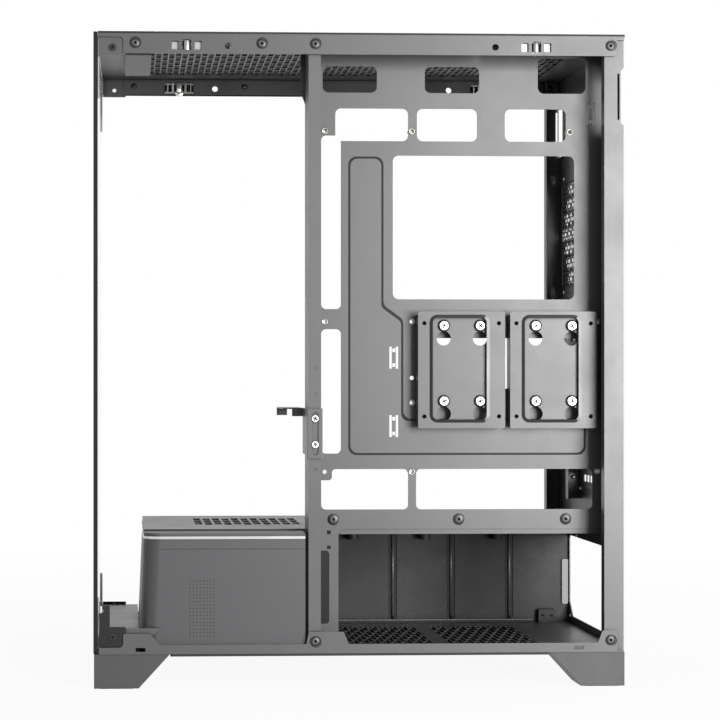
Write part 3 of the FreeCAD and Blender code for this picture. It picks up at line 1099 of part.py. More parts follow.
def make_fasteners():
    """Rivets, screws and standoffs, each kind as one group of separate solids."""
    cup_rivet = make_turned("cup_rivet", rivet_profile("(cup_depth + steel)"))
    flat_rivet = make_turned("flat_rivet", rivet_profile("(2 * steel)"))
    near_seat, far_seat = f"({NEAR} + steel)", f"({FAR} - steel)"
    rail = RAIL_RIVETS + BASE_RIVETS
    group("rivets", [*[(cup_rivet, x, near_seat, z, 0) for x, z, _ in rail],
                     *[(cup_rivet, x, far_seat, z, 180) for x, z, both in rail if both],
                     *[(flat_rivet, x, TRAY, z, 0) for x, z in TRAY_RIVETS]])
    screw = make_turned("small_screw", screw_profile(
        "screw_head", "screw_head_height", "screw_shank", "screw_length"))
    plate = f"({INNER} - steel)"
    group("holder_screws", [(screw, POST_MIDDLE, plate, f"(foot_height + {rise})", 0)
                            for rise in ("holder_screw_1", "holder_screw_2")])
    group("bracket_screws", [
        (screw, bracket_screw(high)[0], f"({FAR_INNER} + steel)" if far else plate,
         bracket_screw(high)[1], 180 if far else 0)
        for high, far in ((True, False), (False, False), (False, True))])
    card_seat = f"({TRAY} + 2 * steel + cover_length)"
    group("card_screws", [(screw, CARD_SCREW_X, card_seat, f"({SLOT_LOW} + {k} * slot_pitch)", 180)
                          for k in range(CARD_SLOTS)])
    key = make_turned("key_screw", [
        ("-(key_head_height + key_washer_height)", "0"),
        ("-(key_head_height + key_washer_height)", "key_head"), ("-key_washer_height", "key_head"),
        ("-key_washer_height", "key_washer"), ("0", "key_washer"), ("0", "key_shank"),
        ("steel", "key_shank"), ("steel", "key_head"), (KEY_REACH, "key_head"),
        (KEY_REACH, "key_thread"), (f"({KEY_REACH} + 2 * steel)", "key_thread"),
        (f"({KEY_REACH} + 2 * steel)", "0")])
    dish_floor = f"({TRAY} - drive_stand + dish_depth)"
    group("drive_screws", [(key, x, dish_floor, z, 0) for k in (0, 1) for x, z in key_places(k)])
    standoff = make_turned("standoff", [
        ("-(steel + standoff_foot)", "0"), ("-(steel + standoff_foot)", "standoff_neck"),
        ("0", "standoff_neck"), ("0", "standoff_radius"), ("standoff_height", "standoff_radius"),
        ("standoff_height", "standoff_bore"), ("steel", "standoff_bore"), ("steel", "0")])
    through = make_turned("open_standoff", [
        ("-(steel + standoff_foot)", "standoff_bore"), ("-(steel + standoff_foot)", "standoff_neck"),
        ("0", "standoff_neck"), ("0", "standoff_radius"), ("standoff_height", "standoff_radius"),
        ("standoff_height", "standoff_bore")])
    group("standoffs", [*[(standoff, x, TRAY_BACK, z, 0) for x, z in STANDOFFS],
                        (through, OPEN_STANDOFF[0], TRAY_BACK, OPEN_STANDOFF[1], 0)])


make_bottom_panel()
make_top_frame()
make_rear_panel()
make_tray()
make_post()
make_card_holder()
make_shroud()
make_shroud_cover()
make_trim()
make_front_ledge()
make_glass()
make_top_filter()
make_base_filter()
make_control_panel()
make_control_board()
make_control_floor()
make_button("power_button", "button_radius", "power_place")
make_button("reset_button", "reset_radius", "reset_place")
for port, numbers in PORTS.items():
    make_port(port, *numbers)
make_jack("headset_jack", "jack_1_place")
make_jack("microphone_jack", "jack_2_place")
make_card_shelf()
make_cable_block()
make_seal()
for slot_index in range(CARD_SLOTS):
    make_card_cover(slot_index)
for bracket_index in (0, 1):
    make_drive_bracket(bracket_index)
for is_far, side in ((False, "near"), (True, "far")):
    make_inner_rail(is_far)
    for end, clip_x in CLIPS.items():
        make_panel_clip(f"{side}_{end}_clip", clip_x, is_far)
    for is_high, level_name in ((True, "upper"), (False, "lower")):
        make_glass_holder(f"{side}_{level_name}_tongue", is_high, is_far)
        make_corner_bracket(f"{side}_{level_name}_bracket", is_high, is_far)
    for is_rear, end in ((False, "front"), (True, "rear")):
        make_foot(f"{side}_{end}_foot", is_rear, is_far)
make_fasteners()

doc.recompute()
failed = [item.Name for item in doc.Objects
          if "Invalid" in item.State or "Error" in item.State]
if failed:
    raise RuntimeError(f"failed objects: {failed}")
for node in nodes:
    if node.Shape.isNull() or not node.Shape.isValid():
        raise RuntimeError(f"bad shape: {node.Label}")
os.makedirs("parts", exist_ok=True)
for node in nodes:
    shape = node.Shape
    shape.exportStep(f"parts/{node.Label}.step")
    extent = shape.BoundBox
    print(f"{node.Label}: {shape.Volume:.0f} mm3, {len(shape.Solids)} solid(s), "
          f"X {extent.XMin:.1f} {extent.XMax:.1f}, Y {extent.YMin:.1f} {extent.YMax:.1f}, "
          f"Z {extent.ZMin:.1f} {extent.ZMax:.1f}")
print(len(nodes), "nodes")
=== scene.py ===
"""The mid-tower computer case, dressed for rendering: powder-coated steel sheets, moulded
plastic, clear glass and small plated fasteners, seen from its right side."""

import bmesh
import bpy
import json
import math
from mathutils import Matrix, Vector


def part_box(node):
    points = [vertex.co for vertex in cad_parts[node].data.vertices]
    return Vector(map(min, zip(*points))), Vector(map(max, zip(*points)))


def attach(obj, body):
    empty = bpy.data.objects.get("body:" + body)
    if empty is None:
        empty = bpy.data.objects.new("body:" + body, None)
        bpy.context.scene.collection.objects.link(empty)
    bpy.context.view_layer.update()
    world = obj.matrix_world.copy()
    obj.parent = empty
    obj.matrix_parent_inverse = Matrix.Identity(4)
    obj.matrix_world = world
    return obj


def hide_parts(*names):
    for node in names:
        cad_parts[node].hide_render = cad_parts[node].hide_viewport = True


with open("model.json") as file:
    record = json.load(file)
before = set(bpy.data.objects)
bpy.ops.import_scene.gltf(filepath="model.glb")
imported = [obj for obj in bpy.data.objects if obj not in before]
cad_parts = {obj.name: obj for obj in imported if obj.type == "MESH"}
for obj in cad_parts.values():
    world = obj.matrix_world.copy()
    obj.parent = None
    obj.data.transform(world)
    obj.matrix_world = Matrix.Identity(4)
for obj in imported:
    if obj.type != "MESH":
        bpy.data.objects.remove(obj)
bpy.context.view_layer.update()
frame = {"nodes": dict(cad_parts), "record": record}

MM = 0.001
WELD = 0.00001
INWARD, OUTWARD, UPWARD = Vector((0, 1, 0)), Vector((0, -1, 0)), Vector((0, 0, 1))

# Places and sizes on the case, in millimetres.
RAIL_FACE = 114.0
RAIL_SHADE_FROM, RAIL_SHADE_UNDER = 100.0, 527.0
TRAY_FRONT = -90.0
TRAY_GROOVE = (-81.9, -81.1)
DISH_WALL = (-95.9, -93.0)
DISH_MIDDLE = (34.4, -47.1)
DISH_SIZE = (49.8, 88.8)
DISH_CORNER = 6.5
# A thin ring of painted shade round each dish, and where its plain right side begins.
SHADE_RING_WIDTH, SHADE_RING_HEIGHT, SHADE_RING_LIFT = 2.6, 0.4, 0.05
SHADE_RING_LIT_FROM = 55.5
CHAMBER_WALL, CHAMBER_FLOOR, CHAMBER_ROOF = 78.0, 29.6, 126.0
CHAMBER_SHADE_FROM, CHAMBER_SHADE_UNDER = 60.0, 125.0
RIB_FIRST, RIB_PITCH, RIB_WIDTH, RIB_COUNT = 49.4, 53.4, 6.4, 3
SCREEN_PLACE = (213.6, 45.0, 384.0)
SCREEN_HALF_HEIGHT, SCREEN_HALF_WIDTH = 48.0, 53.5
FAR_PLATE_HEIGHT = 11.0

# Heads of the fasteners over their seats, and what they stand on.
RIVET_HEAD, DRIVE_HEAD, NECK_FOOT = 0.9, 2.4, 0.6
SMALL_HEAD = (2.9, 1.0)

# The glow of the floor and the world where only scattered light meets them.
SCATTERED_GLOW = 0.28
CENTRE = (0.0, 0.0, 0.27)

slots = {entry["node"]: entry["material_slot"] for entry in frame["record"]["subparts"]}
body_of_node = {node: body for body, members in frame["record"]["behaviour"]["bodies"].items()
                for node in members}


def linear(hex_colour):
    """An sRGB hex colour as the linear RGBA that the shaders work in."""
    parts = [int(hex_colour[i:i + 2], 16) / 255 for i in (1, 3, 5)]
    return (*[c / 12.92 if c <= 0.04045 else ((c + 0.055) / 1.055) ** 2.4 for c in parts], 1.0)


def add_node(tree, kind, settings=None, inputs=None):
    """Add a node with its settings; an input is a value or the socket that feeds it."""
    node = tree.nodes.new(kind)
    for name, setting in (settings or {}).items():
        setattr(node, name, setting)
    for name, source in (inputs or {}).items():
        if isinstance(source, bpy.types.NodeSocket):
            tree.links.new(source, node.inputs[name])
        else:
            node.inputs[name].default_value = source
    return node


def drifting_colour(tree, place, colour, blotch):
    """A colour that drifts a little darker and lighter in slow clouds."""
    cloud = add_node(tree, "ShaderNodeTexNoise", None, {
        "Vector": place, "Scale": 14.0, "Detail": 4.0, "Roughness": 0.6})
    dark = [c * (1 - blotch) for c in colour[:3]] + [1.0]
    light = [min(1.0, c * (1 + blotch)) for c in colour[:3]] + [1.0]
    drift = add_node(tree, "ShaderNodeMix", {"data_type": "RGBA"}, {
        "Factor": cloud.outputs["Fac"], 6: dark, 7: light})
    return drift.outputs[2]


def paint_shade_near_joints(tree, colour, reach):
    """Darken a colour near joints and overlaps, within reach millimetres, as painted shade."""
    near = add_node(tree, "ShaderNodeAmbientOcclusion", {"samples": 6}, {"Distance": reach * MM})
    shade_paint_factor = add_node(tree, "ShaderNodeMapRange", None, {
        "Value": near.outputs["AO"], "From Min": 0.45, "From Max": 0.9,
        "To Min": 0.06, "To Max": 1.0})
    shaded = add_node(tree, "ShaderNodeMix", {"data_type": "RGBA", "blend_type": "MULTIPLY"}, {
        "Factor": 1.0, 6: colour, 7: shade_paint_factor.outputs["Result"]})
    return shaded.outputs[2]


def woven_colour(tree, place, colour, pitch):
    """Darken a colour in the holes of a plain weave of threads pitch millimetres apart."""
    scale = 2 * math.pi / (20 * pitch * MM)
    threads = [add_node(tree, "ShaderNodeTexWave", {"bands_direction": way}, {
        "Vector": place, "Scale": scale}).outputs["Fac"] for way in "XY"]
    cover = add_node(tree, "ShaderNodeMath", {"operation": "MAXIMUM"}, {
        0: threads[0], 1: threads[1]})
    dark = [c * 0.35 for c in colour[:3]] + [1.0]
    woven = add_node(tree, "ShaderNodeMix", {"data_type": "RGBA"}, {
        "Factor": cover.outputs[0], 6: dark, 7: colour})
    return woven.outputs[2], cover.outputs[0]


def surface(name, hex_colour, roughness, metallic=0.0, grain=0.0, depth=0.0, blotch=0.0,
            smear=0.0, painted_shade_reach=0.0, weave=0.0, shader=None):
    """A finish: one colour with slow blotches, smeared gloss and a fine grain in relief.

    grain is the size of one grain and depth its height; the shade reach is how far from a joint
    the colour is darkened as painted shade, and weave the pitch of woven threads, all in
    millimetres. blotch is how far the colour drifts and smear how far the roughness does."""
    material = bpy.data.materials.new(name)
    material.use_nodes = True
    tree = material.node_tree
    principled = tree.nodes["Principled BSDF"]
    principled.inputs["Metallic"].default_value = metallic
    principled.inputs["Roughness"].default_value = roughness
    colour = linear(hex_colour)
    principled.inputs["Base Color"].default_value = colour
    for socket, value in (shader or {}).items():
        principled.inputs[socket].default_value = value
    place = add_node(tree, "ShaderNodeTexCoord").outputs["Object"]
    relief = None
    if weave:
        colour, relief = woven_colour(tree, place, colour, weave)
    elif blotch:
        colour = drifting_colour(tree, place, colour, blotch)
    if painted_shade_reach:
        colour = paint_shade_near_joints(tree, colour, painted_shade_reach)
    if isinstance(colour, bpy.types.NodeSocket):
        tree.links.new(colour, principled.inputs["Base Color"])
    if smear:
        wipe = add_node(tree, "ShaderNodeTexNoise", None, {
            "Vector": place, "Scale": 22.0, "Detail": 5.0, "Roughness": 0.7})
        gloss = add_node(tree, "ShaderNodeMapRange", None, {
            "Value": wipe.outputs["Fac"], "From Min": 0.3, "From Max": 0.7,
            "To Min": roughness - smear, "To Max": roughness + smear})
        tree.links.new(gloss.outputs["Result"], principled.inputs["Roughness"])
    if grain:
        relief = add_node(tree, "ShaderNodeTexNoise", None, {
            "Vector": place, "Scale": 1 / (grain * MM), "Detail": 2.0,
            "Roughness": 0.5}).outputs["Fac"]
    if relief is not None:
        bump = add_node(tree, "ShaderNodeBump", None, {
            "Height": relief, "Distance": depth * MM, "Strength": 0.6})
        tree.links.new(bump.outputs["Normal"], principled.inputs["Normal"])
    return material


# Finishes given a shade reach are darkened near joints and overlaps: painted shade.
# Grain and threads too fine to show are drawn coarser than real, at the sizes given here.
# Powder coat baked on steel: fine orange peel, half-gloss, a touch uneven.
powder_coat = surface("powder_coated_steel", "#434344", 0.38, grain=1.1, depth=0.05,
                      blotch=0.05, smear=0.05, painted_shade_reach=4.0)
# The same coat, darker and flatter, as painted shade in grooves, on dish walls and the far rail.
painted_shadow_coat = surface("coat_with_painted_shade", "#0D0D0E", 0.5, grain=1.1, depth=0.05,
                      shader={"Specular IOR Level": 0.2})
# The coat in the chamber, darkened as painted shade, with a coarser grain.
chamber_painted_shade = surface("painted_shade_of_the_chamber", "#1E1E1F", 0.6, grain=1.6, depth=0.2,
                       blotch=0.15, smear=0.05, painted_shade_reach=6.0,
                       shader={"Specular IOR Level": 0.35})
# Moulded ABS with a spark-eroded grain: flatter and a little darker than the steel.
moulded_abs = surface("moulded_abs", "#363638", 0.46, grain=0.7, depth=0.06, blotch=0.04,
                      smear=0.04, painted_shade_reach=3.0)
# Moulded polypropylene of the feet: a soft grain with little gloss.
foot_plastic = surface("grained_polypropylene", "#303032", 0.55, grain=0.9, depth=0.08,
                       blotch=0.05, smear=0.05, painted_shade_reach=3.0)
# Moulded polyamide of small pieces and the pane's lower brackets: black without gloss.
black_plastic = surface("black_polyamide", "#101011", 0.55, grain=0.6, depth=0.04, blotch=0.08,
                        shader={"Specular IOR Level": 0.25})
# Polished aluminium strip pressed round the moulded cover: bright, with faint wipe marks.
polished_strip = surface("polished_aluminium", "#C9C9CA", 0.22, 1.0, smear=0.04)
# Zinc plate: bright, slightly milky metal with fine wipe marks.
zinc_plate = surface("zinc_plated_steel", "#C4C4C6", 0.3, 1.0, grain=0.5, depth=0.02,
                     smear=0.08, painted_shade_reach=0.8)
# Nickel plate on the sprung tongues, the far clips and the ports' shells: warm and bright.
nickel_plate = surface("nickel_plated_steel", "#CFCECB", 0.26, 1.0, smear=0.06, painted_shade_reach=1.2)
# The near clips' plating, greyer and rougher than the far clips' nickel: a shaded copy, painted
# shade.
near_clip_shaded_plating = surface("near_clip_shaded_plating", "#8C8C8E", 0.42, 1.0, smear=0.06, painted_shade_reach=1.5)
# Turned brass of the standoffs, dulled and toned down by the coat's overspray.
turned_brass = surface("turned_brass", "#A3A099", 0.38, 1.0, smear=0.07)
# Bright zinc on the heads of the drive screws: nearly white, with a soft gloss.
bright_zinc = surface("bright_zinc_plate", "#DEDEDF", 0.42, 1.0, grain=0.5, depth=0.02,
                      smear=0.06)
# Plain steel of the washers, duller than the heads on them.
washer_steel = surface("plain_washer_steel", "#39393B", 0.45, 1.0, grain=0.5, depth=0.02,
                       painted_shade_reach=1.2)
# Coated steel of the rivets, darker than the sheets, and painted shade for the bottom of holes
# and recesses.
rivet_coat = surface("coated_rivet_steel", "#1D1D1F", 0.4, grain=0.6, depth=0.03, painted_shade_reach=1.0)
hole_painted_shade = surface("steel_with_painted_shade", "#0C0C0D", 0.6, blotch=0.1,
                    shader={"Specular IOR Level": 0.15})
# Black oxide on screws: dark metal with a low gloss.
black_oxide = surface("black_oxide_steel", "#2E2E30", 0.34, 0.5, grain=0.5, depth=0.02,
                      painted_shade_reach=0.8)
# Toughened clear glass and its ground edge, printed dark.
clear_glass = surface("toughened_glass", "#F2F5F4", 0.02, shader={
    "Transmission Weight": 1.0, "IOR": 1.52})
glass_edge = surface("printed_glass_edge", "#0D0E0E", 0.45, smear=0.05,
                     shader={"Specular IOR Level": 0.2})
# Open-cell foam: grey, matt and pitted.
foam = surface("open_cell_foam", "#8A8A8B", 0.95, grain=1.2, depth=0.5, blotch=0.15)
# Solder mask on glass-fibre board: dark green and smooth.
solder_mask = surface("solder_mask", "#1F3B2C", 0.35, blotch=0.1, smear=0.05)
# Woven nylon skin of the dust filters: matt black threads over darker holes.
filter_weave = surface("woven_nylon_mesh", "#232325", 0.65, depth=0.12, weave=1.3, smear=0.05,
                       shader={"Specular IOR Level": 0.3})

FINISHES = {
    "black_steel": powder_coat, "black_plastic": moulded_abs, "bright_trim": polished_strip,
    "dark_glass": clear_glass, "circuit_board": solder_mask, "steel": nickel_plate,
    "brass": turned_brass, "foam": foam}
SPECIAL = {"top_filter": filter_weave, "base_filter": filter_weave,
           "near_lower_bracket": black_plastic, "far_lower_bracket": black_plastic,
           "cable_block": black_plastic, "control_panel": black_plastic}
FEET = [f"{side}_{end}_foot" for side in ("near", "far") for end in ("front", "rear")]
SPECIAL.update({foot: foot_plastic for foot in FEET})


def finish_of(node):
    return SPECIAL.get(node, FINISHES[slots[node]])


for node, thing in frame["nodes"].items():
    thing.data.materials.clear()
    thing.data.materials.append(finish_of(node))


def copy_form(node):
    """A node's mesh as a working form, in metres."""
    form = bmesh.new()
    form.from_mesh(frame["nodes"][node].data)
    bmesh.ops.remove_doubles(form, verts=form.verts, dist=WELD)
    return form


def islands(node):
    """The lowest and highest corners of each separate solid of a node."""
    form = copy_form(node)
    waiting = set(form.verts)
    boxes = []
    while waiting:
        found = [waiting.pop()]
        for vert in found:
            near = [edge.other_vert(vert) for edge in vert.link_edges]
            fresh = [other for other in near if other in waiting]
            waiting.difference_update(fresh)
            found.extend(fresh)
        low, high = (Vector([pick(v.co[i] for v in found) for i in range(3)])
                     for pick in (min, max))
        boxes.append((low, high))
    form.free()
    return sorted(boxes, key=lambda pair: tuple(pair[0]))


def show(name, form, nodes, materials):
    """Link a form as a piece that stands for nodes and rides with the first of them."""
    mesh = bpy.data.meshes.new(name)
    form.to_mesh(mesh)
    form.free()
    for material in materials:
        mesh.materials.append(material)
    piece = bpy.data.objects.new(name, mesh)
    bpy.context.collection.objects.link(piece)
    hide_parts(*nodes)
    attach(piece, body_of_node[nodes[0]])
    return piece


def round_edges(piece, width):
    bevel = piece.modifiers.new("rounded_edges", "BEVEL")
    bevel.width = width * MM
    bevel.segments = 2
    bevel.limit_method = "ANGLE"
    bevel.angle_limit = math.radians(40)


def slotted_column(width, low, high, offset, pitch, slot):
    """One column of openings between low and high, each a cell inset to its slot."""
    form = bmesh.new()
    start = low - offset
    while start < high:
        near, far = max(start, low), min(start + pitch, high)
        start += pitch
        if far - near < 2 * (width - slot[0]):
            continue
        cell = bmesh.ops.create_grid(form, x_segments=1, y_segments=1, size=0.5)["verts"]
        bmesh.ops.scale(form, vec=(width, far - near, 1), verts=cell)
        bmesh.ops.translate(form, vec=(width / 2, (near + far) / 2, 0), verts=cell)
        hole = cell[0].link_faces[0]
        bmesh.ops.inset_region(form, faces=[hole], thickness=(width - slot[0]) / 2,
                               use_boundary=True, use_even_offset=True)
        narrow = (far - near - (pitch - slot[1])) / (far - near - (width - slot[0]))
        bmesh.ops.scale(form, vec=(1, narrow, 1), verts=hole.verts,
                        space=Matrix.Translation((0, -(near + far) / 2, 0)))
        bmesh.ops.delete(form, geom=[hole], context="FACES")
    column = bpy.data.meshes.new("column")
    form.to_mesh(column)
    form.free()
    return column


def fill_field(form, low, high, pitch, slot):
    """Fill a box with columns of staggered slots; pitch and slot are across and along, and
    all is in metres."""
    columns = round((high.x - low.x) / pitch[0])
    width = (high.x - low.x) / columns
    slot = (slot[0] * width / pitch[0], slot[1])
    pair = [slotted_column(width, low.y, high.y, offset, pitch[1], slot)
            for offset in (0, pitch[1] / 2)]
    field = bmesh.new()
    for number in range(columns):
        count = len(field.verts)
        field.from_mesh(pair[number % 2])
        field.verts.ensure_lookup_table()
        bmesh.ops.translate(field, vec=(low.x + number * width, 0, low.z),
                            verts=field.verts[count:])
    bmesh.ops.remove_doubles(field, verts=field.verts, dist=WELD)
    bmesh.ops.recalc_face_normals(field, faces=field.faces)
    bmesh.ops.solidify(field, geom=field.faces[:], thickness=low.z - high.z)
    level = sum(vert.co.z for vert in field.verts) / len(field.verts)
    bmesh.ops.translate(field, vec=(0, 0, (low.z + high.z) / 2 - level), verts=field.verts)
    grille = bpy.data.meshes.new("grille")
    field.to_mesh(grille)
    field.free()
    form.from_mesh(grille)
    for mesh in (*pair, grille):
        bpy.data.meshes.remove(mesh)


def replace_field(form, low, high, pitch, slot):
    """Cut the coarse openings of a field out of a flat sheet and put in the fine grille."""
    for axis in (0, 1):
        normal = Vector((axis == 0, axis == 1, 0))
        for corner in (low, high):
            geometry = form.verts[:] + form.edges[:] + form.faces[:]
            bmesh.ops.bisect_plane(form, geom=geometry, plane_co=normal * corner[axis],
                                   plane_no=normal)
    inside = [face for face in form.faces
              if all(low[i] - WELD < face.calc_center_median()[i] < high[i] + WELD
                     for i in range(3))]
    bmesh.ops.delete(form, geom=inside, context="FACES")
    fill_field(form, low, high, pitch, slot)


def corners_mm(left, near, low, right, far, high):
    """The lowest and highest corners of a box given in millimetres."""
    return Vector((left, near, low)) * MM, Vector((right, far, high)) * MM


def dress_sheet(node, width=0.3, fields=(), shaded=None, second=None):
    """Show a sheet node with its edges rounded and its coarse grilles made fine; faces for
    which shaded answers true get the second finish, which carries painted shade."""
    form = copy_form(node)
    for face in form.faces:
        face.smooth = False
        if shaded:
            place = face.calc_center_median() / MM
            face.material_index = int(shaded(place, face.normal))
    for low, high, pitch, slot in fields:
        replace_field(form, low, high, [p * MM for p in pitch], [s * MM for s in slot])
    bmesh.ops.dissolve_limit(form, angle_limit=math.radians(1), verts=form.verts,
                             edges=form.edges, delimit={"MATERIAL"})
    finish = finish_of(node)
    round_edges(show(node + "_sheet", form, [node], [finish, second or finish]), width)


def spin_profile(form, profile, steps=28, material=0):
    """Spin a profile of (radius, height) millimetres round the upright axis."""
    known = set(form.faces)
    verts = [form.verts.new(Vector((radius, 0, height)) * MM) for radius, height in profile]
    edges = [form.edges.new(pair) for pair in zip(verts, verts[1:])]
    bmesh.ops.spin(form, geom=verts + edges, cent=(0, 0, 0), axis=(0, 0, 1),
                   angle=2 * math.pi, steps=steps, use_merge=True)
    bmesh.ops.remove_doubles(form, verts=form.verts, dist=WELD)
    for face in set(form.faces) - known:
        face.material_index = material
        face.smooth = steps > 8


def crossed_head(form, base, head, recess):
    """A pan head standing on the height base, with a crossed recess whose floor and walls are
    painted shade; head is its radius and height, recess the reach, half width and depth of the
    arms, in millimetres."""
    radius, height = head
    reach, half, depth = recess
    top = (base + height) * MM
    spin_profile(form, [(0, base), (radius, base), (radius, base + height - 0.3),
                        (radius - 0.3, base + height)], steps=32)
    grid = bmesh.ops.create_grid(form, x_segments=3, y_segments=3, size=1.0)["verts"]
    for vert in grid:
        place = [math.copysign(reach if abs(c) > 0.5 else half, c) * MM for c in vert.co[:2]]
        vert.co = (*place, top)
    cells = list({face for vert in grid for face in vert.link_faces})
    corners = [face for face in cells
               if all(abs(c) > half * MM for c in face.calc_center_median()[:2])]
    cross = [face for face in cells if face not in corners]
    bmesh.ops.delete(form, geom=corners, context="FACES")
    rims = [edge for edge in form.edges if edge.is_boundary]
    bmesh.ops.triangle_fill(form, edges=rims, use_beauty=True)
    made = bmesh.ops.extrude_face_region(form, geom=cross)["geom"]
    floor = [item for item in made if isinstance(item, bmesh.types.BMVert)]
    bmesh.ops.delete(form, geom=cross, context="FACES")
    bmesh.ops.translate(form, vec=(0, 0, -depth * MM), verts=floor)
    bmesh.ops.scale(form, vec=(0.8, 0.8, 1), verts=floor)
    for face in {face for vert in floor for face in vert.link_faces}:
        face.material_index = 1


def template_of(form):
    """Close a form as a mesh to copy from, its faces turned outward."""
    bmesh.ops.recalc_face_normals(form, faces=form.faces)
    template = bpy.data.meshes.new("template")
    form.to_mesh(template)
    form.free()
    return template


def set_copies(template, seats, form=None):
    """Add a copy of a template on each seat, its place, facing and turn, to a form."""
    form = bmesh.new() if form is None else form
    for place, facing, angle in seats:
        count = len(form.verts)
        form.from_mesh(template)
        form.verts.ensure_lookup_table()
        turn = facing.to_track_quat("Z", "Y").to_matrix().to_4x4()
        bmesh.ops.transform(form, verts=form.verts[count:], matrix=(
            Matrix.Translation(place) @ turn @ Matrix.Rotation(angle, 4, "Z")))
    bpy.data.meshes.remove(template)
    return form


def seat_of(low, high, head):
    """Seat and facing of a fastener whose head stands head millimetres out of a side."""
    middle = (low + high) / 2
    if low.y < 0:
        return Vector((middle.x, low.y + head * MM, middle.z)), OUTWARD
    return Vector((middle.x, high.y - head * MM, middle.z)), INWARD


def rivet_template(rim):
    """A blind rivet: domed flange, swollen tail, a lip round the mandrel's hole painted lighter
    as a highlight, and the hole painted with shade; rim is the flange's radius in millimetres."""
    form = bmesh.new()
    spin_profile(form, [(0, -3.6), (1.3, -3.6), (2.4, -2.8), (1.6, -2.0), (1.6, -0.1),
                        (rim, 0), (rim, 0.3), (rim - 0.7, 0.75), (2.1, 0.9)])
    # The lip takes the third finish, the lighter plain coat: a painted highlight.
    spin_profile(form, [(2.1, 0.9), (1.7, 1.0), (1.1, 0.85)], material=2)
    # The hole takes the second finish: painted shade.
    spin_profile(form, [(1.1, 0.85), (1.0, -0.6), (0, -0.6)], material=1)
    return template_of(form)


def build_rivets():
    """Blind rivets: wide flanges in the tray, narrower ones in the pressed cups."""
    cups, tray = [], []
    for low, high in islands("rivets"):
        seats = tray if TRAY_FRONT * MM < low.y < high.y < 0 else cups
        seats.append((*seat_of(low, high, RIVET_HEAD), 0))
    for name, seats, rim in (("rivets_in_cups", cups, 4.0), ("rivets_in_tray", tray, 4.7)):
        show(name, set_copies(rivet_template(rim), seats), ["rivets"],
             [rivet_coat, hole_painted_shade, powder_coat])


def build_screws(node, material):
    """Small pan-headed screws with crossed recesses and short shanks."""
    radius, height = SMALL_HEAD
    play = 0.06
    form = bmesh.new()
    spin_profile(form, [(0, -5.0), (1.2, -5.0), (1.6, -4.4), (1.6, -0.1), (0, -0.1)], 14)
    crossed_head(form, play, (radius, height - play), (1.9, 0.5, 0.7))
    seats = [(*seat_of(low, high, height), 0.35 + 0.8 * index)
             for index, (low, high) in enumerate(islands(node))]
    show(node + "_crossed", set_copies(template_of(form), seats), [node],
         [material, hole_painted_shade])


def build_drive_screws():
    """Shoulder screws of the drive brackets: flat bright heads over steel washers."""
    boxes = islands("drive_screws")
    low, high = boxes[0]
    length = (high.y - low.y) / MM - DRIVE_HEAD
    form = bmesh.new()
    spin_profile(form, [(0, -length), (1.4, -length), (1.7, 0.6 - length), (1.7, -10.6),
                        (3.4, -10.5), (3.4, -1.05), (2.0, -1.0), (2.0, 0.7), (0, 0.7)])
    crossed_head(form, 0.8, (3.7, 1.55), (2.4, 0.62, 1.0))
    seats = [(*seat_of(low, high, DRIVE_HEAD), 0.4 + 0.7 * index)
             for index, (low, high) in enumerate(boxes)]
    show("drive_screw_heads", set_copies(template_of(form), seats), ["drive_screws"],
         [bright_zinc, hole_painted_shade])
    form = bmesh.new()
    spin_profile(form, [(0, 0.02), (5.1, 0.02), (5.1, 0.5), (4.7, 0.8), (0, 0.8)])
    show("drive_screw_washers", set_copies(template_of(form), seats), ["drive_screws"],
         [washer_steel])


def build_standoffs():
    """Hexagonal standoffs, bored through, whose necks are flared in the tray."""
    form = bmesh.new()
    spin_profile(form, [(1.5, 0.2), (2.1, 0.55), (2.6, 0.4), (2.2, 0.0), (2.2, -1.1)], 24)
    spin_profile(form, [(2.2, -1.2), (3.0, -1.2), (3.0, -7.0), (2.6, -7.5), (1.6, -7.5)], 6)
    spin_profile(form, [(1.5, -7.5), (1.5, 0.2)], 24)
    seats = []
    for low, high in islands("standoffs"):
        middle = (low + high) / 2
        seats.append((Vector((middle.x, low.y + NECK_FOOT * MM, middle.z)), OUTWARD, 0))
    show("standoffs_turned", set_copies(template_of(form), seats), ["standoffs"],
         [turned_brass])


def add_block(form, low, high, material=0):
    """A closed block between two corners, in millimetres."""
    low, high = Vector(low) * MM, Vector(high) * MM
    made = bmesh.ops.create_cube(form, size=1.0)["verts"]
    for vert in made:
        vert.co = [(low[i] + high[i]) / 2 + vert.co[i] * (high[i] - low[i]) for i in range(3)]
    for face in {face for vert in made for face in vert.link_faces}:
        face.material_index = material


